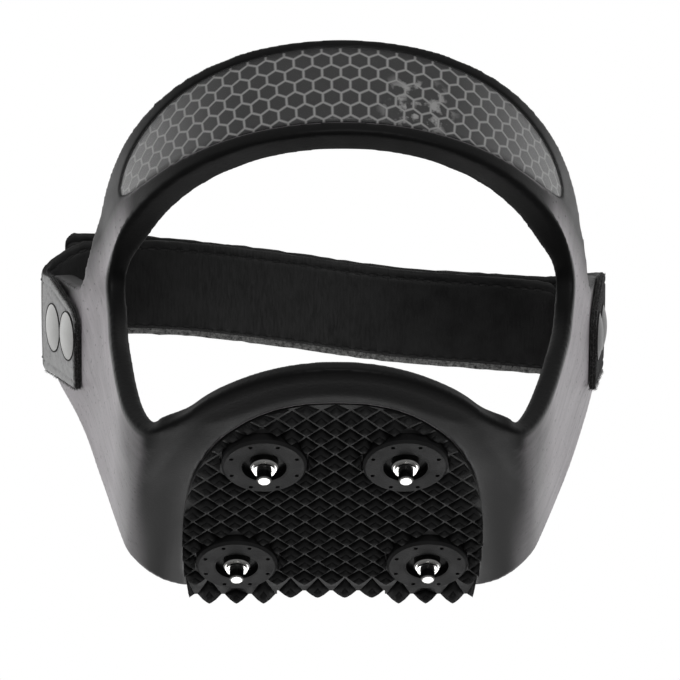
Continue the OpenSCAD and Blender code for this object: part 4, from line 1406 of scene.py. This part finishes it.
for name, side in (("left_tab_fibres", -1), ("right_tab_fibres", 1)):
    lines, outward = tab_edges(side)
    points, edges = joined(lines)
    fibres = make_piece(name, points, [], edges=edges)
    field = fibres.data.attributes.new("outward", "FLOAT_VECTOR", "POINT")
    for spot, way in zip(field.data, outward):
        spot.vector = tuple(way)
    run_tree(fibres, fuzz_tree, {"Finish": finish["fibre"], "Seed": FIBRE_SEED + side})
    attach(fibres, "harness")
    print(name, count(fibres), "triangles")

# %% Rivet shadow rings
SHADOW_RING_R, SHADOW_RING_TUBE, SHADOW_RING_OUT, SHADOW_RING_STEPS, TUBE_STEPS = 5.06, 0.16, 1.66, 48, 8


def shadow_ring(side, along):
    place = ear_space(side)
    tube = circle(SHADOW_RING_R, SHADOW_RING_OUT, SHADOW_RING_TUBE, TUBE_STEPS)
    turn = circle(0, 0, 1, SHADOW_RING_STEPS)
    return np.array([[place((along + r * c, r * s, out)) for r, out in tube] for c, s in turn])


shadow_points, shadow_faces = [], []
for side in (-1, 1):
    for along in RIVETS:
        points, faces = loft(shadow_ring(side, along))
        shadow_faces += [tuple(len(shadow_points) + k for k in face) for face in faces]
        shadow_points += list(points)
# A thin dark ring round each rivet cap: painted shadow.
shadow_rings = make_piece("rivet_seats", shadow_points, shadow_faces, finish["cut_edge"])
outward_faces(shadow_rings)
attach(shadow_rings, "harness")
print("rivet seats:", count(shadow_rings), "triangles")

# %% [markdown]
# ## Hook and loop patches
# Between the straps lie a loop patch and a hook patch. They are thin sheets of pile, sewn to the
# straps' facing sides and seen only from above or with the strap open, so each is a ribbon with
# a ragged nap.

# %% Patches
PATCH_L, PATCH_W, NAP = 68.0, 15.0, 0.08
PATCH_ROWS, PATCH_STEPS = 69, 16
PATCH_LOW = STRAP_T / 2 + FIT_GAP
PATCH_HIGH = PATCH_LOW + PATCH_T


def patch_piece(name, w_mid, low, high, seed):
    chance = random.Random(seed)
    hs = np.linspace(-PATCH_W / 2, PATCH_W / 2, PATCH_STEPS)
    sections = []
    for x in np.linspace(-PATCH_L / 2, PATCH_L / 2, PATCH_ROWS):
        level = strap_level(x)
        top = [leaning(x, w_mid + high + chance.uniform(-NAP, 0), level + h) for h in hs]
        under = [leaning(x, w_mid + low + chance.uniform(0, NAP), level + h) for h in hs[::-1]]
        sections.append(top + under)
    piece = make_piece(name, *loft(np.array(sections), closed_ring=False), finish["pile"])
    outward_faces(piece)
    return piece


loop_pile = patch_piece("loop_pile", inner_w, PATCH_LOW, PATCH_HIGH, seed=7)
hook_pile = patch_piece("hook_pile", outer_w, -PATCH_HIGH, -PATCH_LOW, seed=8)
for piece, body, solid, strap in (
    (loop_pile, "inner", "loop_patch", inner_strap),
    (hook_pile, "outer", "hook_patch", outer_strap),
):
    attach(piece, body)
    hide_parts(solid)
print("patches:", count(loop_pile), count(hook_pile), "triangles")

# %% [markdown]
# ## Floor, light and camera
# The spur stands on its stud tips on a pale floor. The photograph was taken from behind and
# below, so the floor is see-through from underneath. The upper half of the world is white, which
# the side walls and the steel pick up, and the lower half is dark, as under a table. The camera
# is described by its direction, its focal length in pixels and the pixel that it aims at.

# %% Floor
FLOOR_HALF, FLOOR_TONE, FLOOR_ROUGH = 900, 0.86, 0.6

lowest = cad_low[2] / MM
corners = ((-1, -1), (1, -1), (1, 1), (-1, 1))
pale_floor = new_material("pale_floor")
tree, shader = opened(pale_floor)
feed(shader["Base Color"], (FLOOR_TONE, FLOOR_TONE, FLOOR_TONE, 1))
feed(shader["Roughness"], FLOOR_ROUGH)
path = node(tree, "ShaderNodeLightPath", {}).outputs["Is Camera Ray"]
below = node(tree, "ShaderNodeNewGeometry", {}).outputs["Backfacing"]
shown = node(tree, "ShaderNodeMath", {0: path, 1: below}, operation="SUBTRACT", use_clamp=True)
clear = node(tree, "ShaderNodeBsdfTransparent", {}).outputs[0]
paint = tree.nodes["Principled BSDF"].outputs[0]
choose = node(tree, "ShaderNodeMixShader", {0: shown.outputs[0], 1: clear, 2: paint})
feed(tree.nodes["Material Output"].inputs["Surface"], choose.outputs[0])
spread = [(FLOOR_HALF * x, FLOOR_HALF * y, lowest) for x, y in corners]
floor = make_piece("floor", spread, [(0, 1, 2, 3)], pale_floor)
print("floor at z in mm:", round(lowest, 2))

# %% World
SKY_FROM, SKY_TO, FRONT_FROM, FRONT_TO = -0.4, 0.6, -0.3, 0.75
BACK_SHARE, DIMMEST, BRIGHTEST = 0.3, 0.18, 0.85

world = bpy.data.worlds.new("studio")
world.use_nodes = True
bpy.context.scene.world = world
tree = world.node_tree
way = split_xyz(tree, node(tree, "ShaderNodeTexCoord", {}).outputs["Generated"])
sky = map_range(tree, way["Z"], SKY_FROM, SKY_TO)
front = map_range(tree, way["Y"], FRONT_FROM, FRONT_TO, (BACK_SHARE, 1.0))
open_sky = math_node(tree, "MULTIPLY", sky, front)
lit = map_range(tree, open_sky, 0.0, 1.0, (DIMMEST, BRIGHTEST), soft=False)
path = node(tree, "ShaderNodeLightPath", {}).outputs
seen = math_node(tree, "MAXIMUM", path["Is Camera Ray"], path["Is Transmission Ray"])
background = tree.nodes["Background"].inputs
feed(background["Strength"], mix_node(tree, "FLOAT", seen, lit, 1.0))
feed(background["Color"], (1, 1, 1, 1))
bpy.context.scene.view_settings.view_transform = "Standard"
print("world nodes:", len(tree.nodes))

# %% Lamps
LAMP_AIM = Vector((0, 0, 0.03))


def soft_lamp(name, place, size, power):
    lamp = bpy.data.lights.new(name, "AREA")
    lamp.shape = "RECTANGLE"
    lamp.size, lamp.size_y = size
    lamp.energy = power
    body = bpy.data.objects.new(name, lamp)
    body.location = place
    body.rotation_euler = (LAMP_AIM - Vector(place)).to_track_quat("-Z", "Y").to_euler()
    bpy.context.scene.collection.objects.link(body)


# Each lamp: its place and its width and height in metres, and its power in watts.
soft_lamp("left_soft", (-0.75, 0.35, 0.35), (0.9, 0.9), 1.4)
soft_lamp("right_soft", (0.75, 0.35, 0.35), (0.9, 0.9), 0.95)
soft_lamp("rear_low", (0.1, -0.85, -0.25), (0.4, 0.3), 1.1)
soft_lamp("front_low", (0.0, 0.75, -0.58), (1.1, 0.35), 1.6)
soft_lamp("stud_glint", (0.0, 0.62, -0.48), (0.16, 0.16), 0.4)
print("lamps:", len(bpy.data.lights))

# %% Camera
AZ, EL, ROLL = math.radians(-1.7), math.radians(-39.5), math.radians(-1.0)
FAR, FOCAL, PIXELS, SENSOR = 500.0, 2612.0, 680.0, 36.0
AIM, AIM_PX = np.array([0, 0, -7.0]), (333.5, 519.3)

back = np.array([math.sin(AZ) * math.cos(EL), -math.cos(AZ) * math.cos(EL), math.sin(EL)])
right = np.array([math.cos(AZ), math.sin(AZ), 0])
up = np.cross(back, right)
c, s = math.cos(ROLL), math.sin(ROLL)
right, up = c * right + s * up, c * up - s * right
dx, dy = (AIM_PX[0] - PIXELS / 2) / FOCAL * FAR, -(AIM_PX[1] - PIXELS / 2) / FOCAL * FAR
eye = AIM + back * FAR - right * dx - up * dy
camera = bpy.data.objects.new("camera", bpy.data.cameras.new("camera"))
camera.data.sensor_width = SENSOR
camera.data.lens = FOCAL * SENSOR / PIXELS
camera.data.clip_start = 0.01
axes = [(right[k], up[k], back[k], eye[k] * MM) for k in range(3)]
camera.matrix_world = Matrix((*axes, (0, 0, 0, 1)))
bpy.context.scene.collection.objects.link(camera)
bpy.context.scene.camera = camera
print("camera lens in mm:", round(camera.data.lens, 1))

# %% [markdown]
# ## Readable node trees
# Nodes made by a script lie in one heap. Each node's column is one past the last of the nodes
# that feed it, so that every tree reads from left to right when it is opened in the editor.

# %% Lay out the node trees
COLUMN, LINE = 240, 220


def lay_out(tree):
    columns, filled = {}, {}

    def column(made):
        if made.name not in columns:
            before = [column(link.from_node) for socket in made.inputs for link in socket.links]
            columns[made.name] = 1 + max(before, default=-1)
        return columns[made.name]

    for made in tree.nodes:
        k = column(made)
        made.location = (COLUMN * k, -LINE * filled.get(k, 0))
        filled[k] = filled.get(k, 0) + 1


owners = (*finish.values(), honeycomb_tape, cover_film, pale_floor, world)
trees = [owner.node_tree for owner in owners]
for tree in (*trees, *bpy.data.node_groups):
    lay_out(tree)
print("node trees laid out:", len(trees) + len(bpy.data.node_groups))
